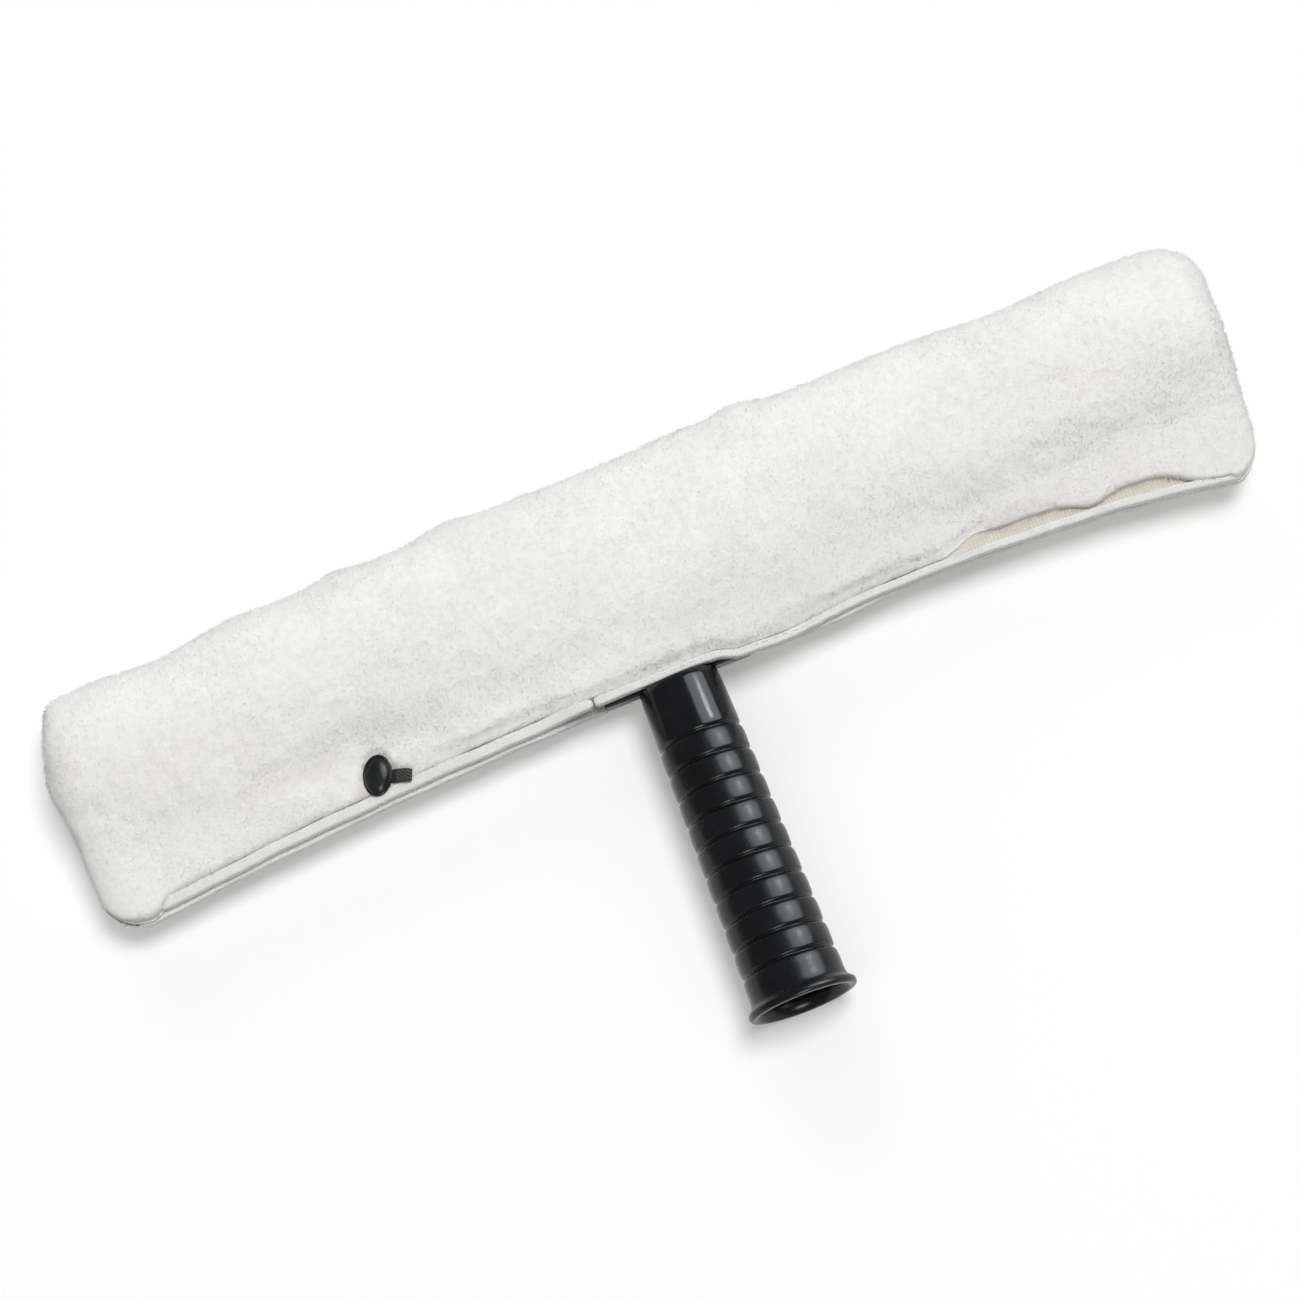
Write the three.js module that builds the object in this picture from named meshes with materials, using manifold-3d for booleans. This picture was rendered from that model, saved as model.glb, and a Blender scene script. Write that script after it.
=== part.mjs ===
// A window strip washer: a moulded T-bar inside a fleece sleeve, lying face up.
// Millimetres. X runs along the head, the handle points to -Y and +Z is up.
// The head is drawn round the crossbar's middle, and the finished part is then
// moved so that its origin is the middle of the underside of its whole box.

import * as THREE from "three";
import { mergeVertices } from "three/addons/utils/BufferGeometryUtils.js";
import Module from "manifold-3d";

const wasm = await Module();
wasm.setup();

// Fits
const gap = 0.3; // between pieces that touch
const overrun = 6; // how far a cutter runs past what it cuts

// Crossbar
const barLength = 350;
const barWidth = 34;
const barThickness = 14;
const barCorner = 9;
const barEdge = 3.5;
const pocketLength = 22;
const pocketWidth = 13;
const pocketPitch = 34;
const firstPocket = 46; // from the handle's axis to the first pocket's middle
const lastPocketRoom = 24; // at least this much bar beyond the last pocket's middle

// Neck between the crossbar and the handle, and the spigot that enters the handle
const neckTopWidth = 62;
const footWidth = 46;
const neckThickness = 6;
const neckEdge = 1.2;
const footStandsOut = 0.9; // the foot shows this much below the front layer
const spigotRadius = 8.6;
const spigotLength = 19;
const pilotDepth = 15;

// Handle
const handleLength = 104.2;
const handleTopRadius = 12.5;
const handleEndRadius = 14.8;
const lipRadius = 16.9;
const lipThickness = 2.3;
const lipFlare = 2;
const lipRound = 0.6;
const collarLength = 18.7; // smooth stretch above the first groove
const grooveCount = 10;
const groovePitch = 8.1;
const grooveWidth = 1.5;
const grooveDepth = 0.75;
const crown = 0.3; // the bands between the grooves swell by this much
const webThickness = 4;
const boreTopRadius = 10.6;
const boreEndRadius = 12.6;
const mouthRadius = 14.6;
const mouthFlare = 3;

// Screw and washer that hold the handle on the spigot
const screwRadius = 2.4;
const screwHeadRadius = 4.5;
const screwHeadHeight = 3.2;
const screwLength = 17;
const driveLength = 5;
const driveWidth = 1.1;
const driveDepth = 1.6;
const washerRadius = 6.5;
const washerThickness = 1.2;

// Sleeve
const sleevePastBar = 13; // at each end
const sleeveShift = 3; // the sleeve sits this much to the right on its bar
const sleeveAbove = 30; // top edge above the crossbar's middle
const sleeveBelow = 43; // hem below it
const crestFoot = 4.5; // the sleeve reaches its full thickness this far above that middle
const flatDepth = 0.5; // the pile is pressed flat where the head rests
const halfSleeve = lipRadius + flatDepth;
const hemHalf = 4.6; // half thickness of the sleeve at its hem
const neckHemHalf = 7.1; // the same where it goes round the neck
const neckSpread = 20; // distance over which the hem settles beside the neck
const leftTopCorner = 6;
const rightTopCorner = 11;
const leftHemCorner = 7;
const rightHemCorner = 9;
const endRound = 16;
const leftTopDroop = 8;
const rightTopDroop = 1.5;
const leftHemDroop = 11.5;
const rightHemDroop = 10.5;
const barFit = 0.6; // slack round the crossbar

// Hem bindings: each is a tape along the edge of one layer of the sleeve
const bindingHeight = 2.6;
const bindingThickness = 3.6;
const bindingEdge = 0.9;
const frontRise = 1.2; // how much higher the front layer ends than the back one
const backRise = 1.3; // how much the back layer rises where it goes round the neck

// Closure flaps: the front one lies left of the handle, the back one right of it
const foldBelow = 24; // fold line below the crossbar's middle
const flapOpens = THREE.MathUtils.degToRad(60);
const flapInset = 26; // flap's inner end from the handle's axis
const flapEndMargin = 10; // flap's outer end from the sleeve's end

// Press studs
const studOffset = 94; // from the handle's axis
const studBelow = 35.5; // below the crossbar's middle
const studTurn = THREE.MathUtils.degToRad(-21.4);
const capHalfWidth = 4.5;
const capHalfLength = 6.4;
const capHeight = 2.6;
const capRim = 1;
const capSeat = 3.9; // the cap's underside above the sleeve's mid-plane
const postSeat = 2.4; // the post's disc lies this deep in the pile below the mid-plane
const shankRadius = 1.2;
const socketRadius = 4.2;
const socketHeight = 2;
const mouthDepth = 1.4;
const knobRadius = 1.8;
const knobHeight = 1.2;
const knobBase = 1;
const postRadius = 4.4;
const postHeight = 1.2;
const tabLength = 6;
const tabWidth = 4.2;
const tabThickness = 1;
const tabCorner = 1;

// Facets
const handleFacets = 28;
const studFacets = 16;
const screwFacets = 14;
const cornerSteps = 3;
const bevelSteps = 2;
const endSteps = 5;
const bodySteps = 20;

// Half section of the sleeve. The crest runs from the top edge down to the thickest
// place, as shares of that height and of the half thickness. The slope runs on below
// the crossbar's middle, as shares of the hem's depth and of what the thickness loses.
const crestShares = [[0, 0], [0.05, 0.3], [0.18, 0.57], [0.4, 0.8], [0.68, 0.94], [1, 1]];
const slopeShares = [
  [0.02, 1], [0.16, 0.94], [0.3, 0.77], [0.43, 0.53], [0.56, 0.31], [0.69, 0.15], [0.82, 0.06],
];
const endThicknessShare = 0.35; // half thickness left at the sleeve's very end
const droopPowers = { leftTop: 1, rightTop: 2, leftHem: 2, rightHem: 3.6 };

// Places that follow from the sizes above
const sleeveLength = barLength + 2 * sleevePastBar;
const sleeveLeft = sleeveShift - sleeveLength / 2;
const sleeveRight = sleeveShift + sleeveLength / 2;
const footY = -sleeveBelow + frontRise - footStandsOut;
const handleTopY = footY - gap;
const handleEndY = handleTopY - handleLength;
const webTopY = handleTopY - spigotLength - gap;
const webBottomY = webTopY - webThickness;
const screwHoleRadius = screwRadius + gap;
const flapOuterLeft = sleeveLeft + flapEndMargin;
const flapOuterRight = sleeveRight - flapEndMargin;

// Colours and finishes
const finish = (color, roughness, metalness = 0) => ({ color, roughness, metalness });
const blackPlastic = finish(0x0c0d0f, 0.25);
const blackStud = finish(0x101113, 0.35);
const fleece = finish(0xefeeec, 0.95);
const tape = finish(0xf1f0ee, 0.85);
const webbing = finish(0x1d1e1c, 0.8);
const steel = finish(0xb9bcc0, 0.35, 1);

// A closed geometry as a manifold solid, moved by a matrix if one is given.
function solid(geometry, matrix) {
  const bare = geometry.clone();
  bare.deleteAttribute("normal");
  bare.deleteAttribute("uv");
  if (matrix) bare.applyMatrix4(matrix);
  const merged = mergeVertices(bare);
  const vertProperties = merged.attributes.position.array;
  const { array } = merged.index;
  const faces = [];
  for (let i = 0; i < array.length; i += 3) {
    const [a, b, c] = array.slice(i, i + 3);
    if (a !== b && b !== c && c !== a) faces.push(a, b, c);
  }
  const triVerts = new Uint32Array(faces);
  return new wasm.Manifold(new wasm.Mesh({ numProp: 3, vertProperties, triVerts }));
}

function named(name, made, material) {
  const { vertProperties, triVerts } = made.getMesh();
  const geometry = new THREE.BufferGeometry();
  geometry.setAttribute("position", new THREE.BufferAttribute(vertProperties, 3));
  geometry.setIndex(new THREE.BufferAttribute(triVerts, 1));
  geometry.computeVertexNormals();
  const mesh = new THREE.Mesh(geometry, new THREE.MeshStandardMaterial(material));
  mesh.name = name;
  return mesh;
}

const at = (x, y, z) => new THREE.Matrix4().makeTranslation(x, y, z);

function block(low, high) {
  const size = new THREE.Vector3().subVectors(high, low);
  const middle = new THREE.Vector3().addVectors(low, high).multiplyScalar(0.5);
  return solid(new THREE.BoxGeometry(size.x, size.y, size.z), at(...middle));
}

function rod(radius, yFrom, yTo, facets) {
  const length = Math.abs(yTo - yFrom);
  return solid(new THREE.CylinderGeometry(radius, radius, length, facets), at(0, (yFrom + yTo) / 2, 0));
}

function roundedRectangle(target, x, y, width, height, radius) {
  const [left, right] = [x - width / 2, x + width / 2];
  const [low, high] = [y - height / 2, y + height / 2];
  target.moveTo(left + radius, low);
  target.lineTo(right - radius, low);
  target.absarc(right - radius, low + radius, radius, -Math.PI / 2, 0);
  target.lineTo(right, high - radius);
  target.absarc(right - radius, high - radius, radius, 0, Math.PI / 2);
  target.lineTo(left + radius, high);
  target.absarc(left + radius, high - radius, radius, Math.PI / 2, Math.PI);
  target.lineTo(left, low + radius);
  target.absarc(left + radius, low + radius, radius, Math.PI, 1.5 * Math.PI);
  return target;
}

// A flat shape as a slab centred on z = 0 with softened edges, no larger than the shape.
function slab(shape, thickness, edge) {
  const depth = thickness - 2 * edge;
  const bevel = { bevelThickness: edge, bevelSize: edge, bevelOffset: -edge, bevelSegments: bevelSteps };
  const options = { depth, curveSegments: cornerSteps, ...bevel };
  return solid(new THREE.ExtrudeGeometry(shape, options), at(0, 0, -depth / 2));
}

// A skin over rings of points, each ring turning from +Y to +Z as seen from +X, with
// the ends closed.
function loft(rings) {
  const perRing = rings[0].length;
  const positions = rings.flat().flatMap((p) => [p.x, p.y, p.z]);
  const index = [];
  for (let i = 0; i + 1 < rings.length; i++) {
    for (let j = 0; j < perRing; j++) {
      const [a, b] = [i * perRing + j, i * perRing + ((j + 1) % perRing)];
      index.push(a, b, a + perRing, b, b + perRing, a + perRing);
    }
  }
  const capFaces = (ring) => {
    const flat = ring.map((p) => new THREE.Vector2(p.y, p.z));
    return THREE.ShapeUtils.triangulateShape(flat, []);
  };
  const last = (rings.length - 1) * perRing;
  capFaces(rings[0]).forEach(([a, b, c]) => index.push(a, c, b));
  capFaces(rings.at(-1)).forEach(([a, b, c]) => index.push(last + a, last + b, last + c));
  const geometry = new THREE.BufferGeometry();
  geometry.setAttribute("position", new THREE.Float32BufferAttribute(positions, 3));
  geometry.setIndex(index);
  return solid(geometry);
}

// The sleeve's outline: distances from its ends, its edges and its half thickness

const fromEnd = (x) => Math.min(x - sleeveLeft, sleeveRight - x);

// How far a corner of the given radius has drawn an edge in at x.
function cornerDrop(x, radius) {
  const inside = radius - fromEnd(x);
  return inside <= 0 ? 0 : radius - Math.sqrt(Math.max(radius ** 2 - inside ** 2, 0));
}

function droop(x, left, right, leftPower, rightPower) {
  const reach = Math.abs(x) / (x < 0 ? -sleeveLeft : sleeveRight);
  return x < 0 ? left * reach ** leftPower : right * reach ** rightPower;
}

function topEdge(x) {
  const sag = droop(x, leftTopDroop, rightTopDroop, droopPowers.leftTop, droopPowers.rightTop);
  return sleeveAbove - sag - cornerDrop(x, x < 0 ? leftTopCorner : rightTopCorner);
}

// The lowest line of one layer: side is 1 for the front layer and -1 for the back one.
function hemLine(x, side) {
  const sag = droop(x, leftHemDroop, rightHemDroop, droopPowers.leftHem, droopPowers.rightHem);
  const rise = side > 0 ? frontRise : backRise * nearNeck(x);
  return -sleeveBelow - sag + cornerDrop(x, x < 0 ? leftHemCorner : rightHemCorner) + rise;
}

const clothEdge = (x, side) => hemLine(x, side) + bindingHeight + gap;

function nearNeck(x) {
  return 1 - THREE.MathUtils.smoothstep(Math.abs(x), footWidth / 2 + gap, footWidth / 2 + gap + neckSpread);
}

function hemThickness(x) {
  return hemHalf + (neckHemHalf - hemHalf) * nearNeck(x);
}

function endThickness(x) {
  const inside = THREE.MathUtils.clamp((endRound - fromEnd(x)) / endRound, 0, 1);
  return endThicknessShare + (1 - endThicknessShare) * Math.sqrt(1 - inside ** 2);
}

function sleeveStations() {
  const ends = [];
  for (let i = 0; i < endSteps; i++) {
    ends.push(endRound * (1 - Math.cos((i / endSteps) * (Math.PI / 2))));
  }
  const body = [];
  for (let i = 0; i <= bodySteps; i++) {
    body.push(sleeveLeft + endRound + (i / bodySteps) * (sleeveLength - 2 * endRound));
  }
  const neck = footWidth / 2 + gap;
  const besideNeck = [-neck - neckSpread, -neck, neck, neck + neckSpread];
  const right = ends.map((d) => sleeveRight - d);
  return [...ends.map((d) => sleeveLeft + d), ...body, ...besideNeck, ...right].sort((a, b) => a - b);
}

// One layer of the sleeve, solid from its mid-plane outwards.
function layer(side) {
  const rings = sleeveStations().map((x) => {
    const top = topEdge(x);
    const edge = clothEdge(x, side);
    const [full, hem] = [halfSleeve * endThickness(x), hemThickness(x) * endThickness(x)];
    const inner = gap / 2;
    const crest = crestShares.map(([down, thick]) => [
      top - down * (top - crestFoot),
      inner + thick * (full - inner),
    ]);
    const slope = slopeShares.map(([down, thick]) => [-down * sleeveBelow, hem + thick * (full - hem)]);
    const outline = [...crest, ...slope, [edge, hem], [edge, inner]];
    const ring = outline.map(([y, z]) => new THREE.Vector3(x, y, side * z));
    return side > 0 ? ring : ring.reverse();
  });
  return loft(rings);
}

// Height of the layer's outer face over the mid-plane at the fold line.
function foldHeight() {
  const down = foldBelow / sleeveBelow;
  const after = slopeShares.findIndex(([share]) => share > down);
  const [[s0, t0], [s1, t1]] = [slopeShares[after - 1], slopeShares[after]];
  const thick = t0 + ((t1 - t0) * (down - s0)) / (s1 - s0);
  return hemHalf + thick * (halfSleeve - hemHalf);
}

// The space that the crossbar and its neck take inside the sleeve.
function innerSpace() {
  const grown = { length: barLength + 2 * barFit, width: barWidth + 2 * barFit };
  const outline = roundedRectangle(new THREE.Shape(), 0, 0, grown.length, grown.width, barCorner + barFit);
  const forBar = slab(outline, barThickness + 2 * barFit, barEdge);
  const half = neckThickness / 2 + gap;
  const wide = neckTopWidth / 2 + gap;
  const tunnel = new THREE.Shape([
    new THREE.Vector2(wide, half),
    new THREE.Vector2(-wide, half),
    new THREE.Vector2(-wide - neckSpread / 2, 0),
    new THREE.Vector2(-wide, -half),
    new THREE.Vector2(wide, -half),
    new THREE.Vector2(wide + neckSpread / 2, 0),
  ]);
  const depth = sleeveBelow + overrun;
  const extruded = new THREE.ExtrudeGeometry(tunnel, { depth, bevelEnabled: false });
  return forBar.add(solid(extruded.rotateX(Math.PI / 2)));
}

// The box that a flap is cut from, grown by a margin on its fold and its two ends.
// side is 1 for the front flap, left of the handle, and -1 for the back one, right of it.
function flapBox(side, margin) {
  const [inner, outer] = side > 0 ? [-flapInset, flapOuterLeft] : [flapInset, flapOuterRight];
  const [left, right] = [Math.min(inner, outer) - margin, Math.max(inner, outer) + margin];
  const deep = -sleeveBelow - leftHemDroop - overrun;
  const thick = halfSleeve + overrun;
  const low = new THREE.Vector3(left, deep, side > 0 ? 0 : -thick);
  return block(low, new THREE.Vector3(right, -foldBelow + margin, side > 0 ? thick : 0));
}

// The pile that would meet the panel above the fold when a flap opens.
function foldNotch(side) {
  const [foot, rise] = [foldHeight(), halfSleeve];
  const wedge = new THREE.Shape([
    new THREE.Vector2(-foldBelow + overrun, side * foot),
    new THREE.Vector2(-foldBelow, side * foot),
    new THREE.Vector2(-foldBelow - rise * Math.tan(flapOpens), side * (foot + rise)),
    new THREE.Vector2(-foldBelow + overrun, side * (foot + rise)),
  ]);
  const cut = new THREE.ExtrudeGeometry(wedge, { depth: sleeveLength, bevelEnabled: false });
  return solid(cut.rotateY(Math.PI / 2).rotateX(Math.PI / 2).translate(-sleeveLength / 2, 0, 0));
}

// A stretch of binding along the edge of one layer.
function binding(side, xFrom, xTo) {
  const between = sleeveStations().filter((x) => x > xFrom + bindingHeight && x < xTo - bindingHeight);
  const rings = [];
  for (const x of [xFrom, ...between, xTo]) {
    const low = hemLine(x, side);
    const high = low + bindingHeight;
    const base = gap / 2 + (neckThickness / 2 + gap) * nearNeck(x);
    const top = base + bindingThickness * endThickness(x);
    const ring = [
      [high, base],
      [high, top],
      [low + bindingEdge, top],
      [low, top - bindingEdge],
      [low, base],
    ].map(([y, z]) => new THREE.Vector3(x, y, side * z));
    rings.push(side > 0 ? ring : ring.reverse());
  }
  return loft(rings);
}

// A lathed piece of a stud, standing on Z.
function turned(profile) {
  const points = profile.map(([r, z]) => new THREE.Vector2(r, z));
  return solid(new THREE.LatheGeometry(points, studFacets).rotateX(Math.PI / 2));
}

// A round disc standing on Z.
function disc(radius, low, high) {
  return turned([[0, low], [radius, low], [radius, high], [0, high]]);
}

// The socket takes the knob with enough room to swing off it when the flap folds.
const knobTop = -gap + knobHeight;
const knobRoom = gap + ((foldHeight() - gap) * (knobTop - gap)) / (studBelow - foldBelow - socketRadius);
const socketLow = gap;
const socketHigh = socketLow + socketHeight;

// With a margin each piece of a stud is the room that it needs in the cloth. The room of
// the cap, the tab and the post is open to the outside.

// The cap is a domed oval with an upright rim, and its shank goes through the flap.
function studCap(margin = 0) {
  const [width, length] = [capHalfWidth + margin, capHalfLength + margin];
  const rimTop = capSeat + (margin ? overrun : capRim);
  const low = capSeat - margin;
  const oval = new THREE.Matrix4().makeScale(width, length, rimTop - low);
  const wall = new THREE.CylinderGeometry(1, 1, 1, studFacets).rotateX(Math.PI / 2);
  const rim = solid(wall, at(0, 0, (low + rimTop) / 2).multiply(oval));
  const swell = new THREE.Matrix4().makeScale(width, length, capHeight + margin);
  const sphere = new THREE.SphereGeometry(1, studFacets, studFacets / 2);
  const ball = solid(sphere, at(0, 0, capSeat).multiply(swell));
  const seam = capSeat + capRim / 2;
  const above = block(new THREE.Vector3(-overrun, -overrun, seam),
    new THREE.Vector3(overrun, overrun, capSeat + overrun));
  const shank = disc(shankRadius + margin, socketHigh + gap - margin, seam);
  return rim.add(ball.intersect(above)).add(shank);
}

function studSocket(margin = 0) {
  const ring = disc(socketRadius + margin, socketLow - margin, socketHigh + margin);
  if (margin) return ring;
  return ring.subtract(disc(knobRadius + knobRoom, socketLow - overrun, socketLow + mouthDepth));
}

function studKnob(margin = 0) {
  const low = -gap - knobBase;
  const knob = turned([
    [0, low],
    [knobRadius, low],
    [knobRadius, knobTop - gap],
    [knobRadius - gap, knobTop],
    [0, knobTop],
  ]);
  return disc(socketRadius + margin, low - margin, -gap + margin).add(knob);
}

// The post's disc is sunk in the outer pile and its shank reaches the knob's base.
function studPost(margin = 0) {
  const low = -postSeat - (margin ? hemHalf + overrun : postHeight);
  const shankTop = -gap - knobBase - gap + margin;
  const shank = disc(shankRadius + margin, -postSeat - postHeight / 2, shankTop);
  return disc(postRadius + margin, low, -postSeat + margin).add(shank);
}

// The pull tab lies in the pile beside the cap and its inner end is caught under the cap.
function pullTab(margin = 0) {
  const low = capSeat - gap - tabThickness;
  const [inner, outer] = [shankRadius + gap, capHalfWidth + tabLength];
  const [length, width] = [outer - inner + 2 * margin, tabWidth + 2 * margin];
  const shape = roundedRectangle(new THREE.Shape(), (inner + outer) / 2, 0, length, width, tabCorner);
  const depth = margin ? overrun : tabThickness;
  const options = { depth, bevelEnabled: false, curveSegments: cornerSteps };
  return solid(new THREE.ExtrudeGeometry(shape, options), at(0, 0, low - margin));
}

// Where a stud stands: side 1 on the front flap, -1 on the back flap, turned over.
function studPlace(side) {
  const overTurned = new THREE.Matrix4().makeRotationY(side > 0 ? 0 : Math.PI);
  const turn = new THREE.Matrix4().makeRotationZ(studTurn);
  return overTurned.multiply(at(-studOffset, -studBelow, 0)).multiply(turn);
}

// Pieces

function crossbar() {
  const outline = roundedRectangle(new THREE.Shape(), 0, 0, barLength, barWidth, barCorner);
  for (const way of [-1, 1]) {
    for (let x = firstPocket; x <= barLength / 2 - lastPocketRoom; x += pocketPitch) {
      const hole = new THREE.Path();
      outline.holes.push(roundedRectangle(hole, way * x, 0, pocketLength, pocketWidth, pocketWidth / 2));
    }
  }
  const bar = slab(outline, barThickness, barEdge);
  const neckTop = -barWidth / 2 + 2 * barEdge;
  const neck = new THREE.Shape([
    new THREE.Vector2(-footWidth / 2, footY),
    new THREE.Vector2(footWidth / 2, footY),
    new THREE.Vector2(neckTopWidth / 2, neckTop),
    new THREE.Vector2(-neckTopWidth / 2, neckTop),
  ]);
  const spigotEnd = footY - spigotLength;
  const spigot = rod(spigotRadius, footY + neckEdge / 2, spigotEnd, handleFacets);
  const pilot = rod(screwHoleRadius, spigotEnd - overrun, spigotEnd + pilotDepth, screwFacets);
  return bar.add(slab(neck, neckThickness, neckEdge)).add(spigot).subtract(pilot);
}

function handleOuterRadius(y) {
  return handleTopRadius + ((handleEndRadius - handleTopRadius) * (handleTopY - y)) / handleLength;
}

function handle() {
  const profile = [[handleTopRadius, handleTopY]];
  for (let i = 0; i < grooveCount; i++) {
    const middle = handleTopY - collarLength - i * groovePitch;
    const floor = handleOuterRadius(middle) - grooveDepth;
    profile.push([handleOuterRadius(middle), middle + grooveWidth / 2]);
    profile.push([floor, middle]);
    profile.push([handleOuterRadius(middle), middle - grooveWidth / 2]);
    const bandMiddle = middle - groovePitch / 2;
    if (i + 1 < grooveCount) profile.push([handleOuterRadius(bandMiddle) + crown, bandMiddle]);
  }
  const lipTopY = handleEndY + lipThickness;
  profile.push(
    [handleOuterRadius(lipTopY + lipFlare), lipTopY + lipFlare],
    [lipRadius - lipRound, lipTopY],
    [lipRadius, lipTopY - lipRound],
    [lipRadius, handleEndY + lipRound],
    [lipRadius - lipRound, handleEndY],
    [mouthRadius, handleEndY],
    [boreEndRadius, handleEndY + mouthFlare],
    [boreTopRadius, webBottomY],
    [screwHoleRadius, webBottomY],
    [screwHoleRadius, webTopY],
    [spigotRadius + gap, webTopY],
    [spigotRadius + gap, handleTopY],
    [handleTopRadius, handleTopY],
  );
  const points = profile.map(([r, y]) => new THREE.Vector2(r, y)).reverse();
  return solid(new THREE.LatheGeometry(points, handleFacets));
}

function handleScrew() {
  const headTop = webBottomY - washerThickness - 2 * gap;
  const headBottom = headTop - screwHeadHeight;
  const head = rod(screwHeadRadius, headTop, headBottom, screwFacets);
  const shank = rod(screwRadius, headTop - screwHeadHeight / 2, headTop + screwLength, screwFacets);
  const slot = block(new THREE.Vector3(-driveLength / 2, headBottom - overrun, -driveWidth / 2),
    new THREE.Vector3(driveLength / 2, headBottom + driveDepth, driveWidth / 2));
  const quarterTurn = new THREE.Matrix4().makeRotationY(Math.PI / 2);
  return head.add(shank).subtract(slot).subtract(slot.transform(quarterTurn.elements));
}

function screwWasher() {
  const top = webBottomY - gap;
  const disc = rod(washerRadius, top, top - washerThickness, screwFacets);
  return disc.subtract(rod(screwHoleRadius, top + overrun, top - overrun, screwFacets));
}

// Both layers with their flaps: each flap is cut out of its layer, and both are cut
// back from what they close round.
function sleevePieces() {
  const inner = innerSpace();
  const floor = block(
    new THREE.Vector3(sleeveLeft - overrun, -sleeveBelow - leftHemDroop - overrun, -halfSleeve - overrun),
    new THREE.Vector3(sleeveRight + overrun, sleeveAbove + overrun, -lipRadius));
  const pieces = {};
  for (const [side, word] of [[1, "front"], [-1, "back"]]) {
    const cloth = layer(side).subtract(inner).subtract(floor);
    const own = studPlace(side);
    const other = studPlace(-side);
    const outerStud = studCap(gap).add(studSocket(gap)).add(pullTab(gap)).transform(own.elements);
    const innerStud = studKnob(gap).add(studPost(gap)).transform(other.elements);
    const flap = cloth.intersect(flapBox(side, 0)).subtract(foldNotch(side));
    pieces[`${word}_flap`] = flap.subtract(outerStud);
    pieces[`sleeve_${word}`] = cloth.subtract(flapBox(side, gap)).subtract(innerStud);
  }
  return pieces;
}

function washer() {
  const group = new THREE.Group();
  group.add(
    named("crossbar", crossbar(), blackPlastic),
    named("handle", handle(), blackPlastic),
    named("handle_screw", handleScrew(), steel),
    named("screw_washer", screwWasher(), steel),
  );
  for (const [name, made] of Object.entries(sleevePieces())) group.add(named(name, made, fleece));

  const [left, right] = [sleeveLeft + leftHemCorner, sleeveRight - rightHemCorner];
  group.add(
    named("front_flap_hem", binding(1, flapOuterLeft, -flapInset), tape),
    named("sleeve_front_hem", binding(1, -flapInset + gap, right), tape),
    named("sleeve_back_hem", binding(-1, left, flapInset - gap), tape),
    named("back_flap_hem", binding(-1, flapInset, flapOuterRight), tape),
  );
  for (const [side, word] of [[1, "front"], [-1, "back"]]) {
    const place = studPlace(side).elements;
    group.add(
      named(`${word}_stud_cap`, studCap().transform(place), blackStud),
      named(`${word}_stud_socket`, studSocket().transform(place), blackStud),
      named(`${word}_stud_knob`, studKnob().transform(place), blackStud),
      named(`${word}_stud_post`, studPost().transform(place), blackStud),
      named(`${word}_pull_tab`, pullTab().transform(place), webbing),
    );
  }
  return group;
}

// The origin goes to the middle of the underside of the part's box.
const part = washer();
const box = new THREE.Box3().setFromObject(part);
part.position.set(-(box.min.x + box.max.x) / 2, -(box.min.y + box.max.y) / 2, -box.min.z);

export default part;
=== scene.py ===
import itertools
import math

import bpy
import numpy as np
from mathutils import Matrix, Vector


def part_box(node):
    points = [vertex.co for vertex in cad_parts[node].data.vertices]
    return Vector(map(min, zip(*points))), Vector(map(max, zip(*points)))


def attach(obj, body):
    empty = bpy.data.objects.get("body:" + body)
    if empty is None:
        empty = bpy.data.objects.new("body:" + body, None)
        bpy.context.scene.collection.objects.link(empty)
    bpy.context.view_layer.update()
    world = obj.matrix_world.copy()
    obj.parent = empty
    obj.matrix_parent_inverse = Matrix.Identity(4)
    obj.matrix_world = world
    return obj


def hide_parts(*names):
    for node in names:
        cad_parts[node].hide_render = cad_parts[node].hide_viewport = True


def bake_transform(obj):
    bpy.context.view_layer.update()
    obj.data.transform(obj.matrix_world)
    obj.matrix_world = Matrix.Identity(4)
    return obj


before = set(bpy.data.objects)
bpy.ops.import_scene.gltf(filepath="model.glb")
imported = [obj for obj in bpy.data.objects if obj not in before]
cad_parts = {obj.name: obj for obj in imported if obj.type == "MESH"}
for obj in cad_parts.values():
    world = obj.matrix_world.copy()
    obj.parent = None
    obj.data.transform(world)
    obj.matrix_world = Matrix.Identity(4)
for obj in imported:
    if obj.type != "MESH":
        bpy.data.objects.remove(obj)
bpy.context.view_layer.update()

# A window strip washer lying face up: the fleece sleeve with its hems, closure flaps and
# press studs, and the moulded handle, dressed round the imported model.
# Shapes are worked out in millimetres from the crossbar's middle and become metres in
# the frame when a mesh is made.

MM = 0.001

# Places read from the frame
BAR_WIDTH = 34
HANDLE_LOW, HANDLE_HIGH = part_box("handle")
BAR_LOW, BAR_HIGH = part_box("crossbar")
SLEEVE_LOW, SLEEVE_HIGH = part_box("sleeve_front")
ORIGIN = np.array([
    (HANDLE_LOW.x + HANDLE_HIGH.x) / 2,
    BAR_HIGH.y - BAR_WIDTH / 2 * MM,
    (HANDLE_LOW.z + HANDLE_HIGH.z) / 2,
])
LEFT = (SLEEVE_LOW.x - ORIGIN[0]) / MM
RIGHT = (SLEEVE_HIGH.x - ORIGIN[0]) / MM
FULL_HALF = (SLEEVE_HIGH.z - ORIGIN[2]) / MM
BAR_HALF_LENGTH = (BAR_HIGH.x - BAR_LOW.x) / 2 / MM

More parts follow.
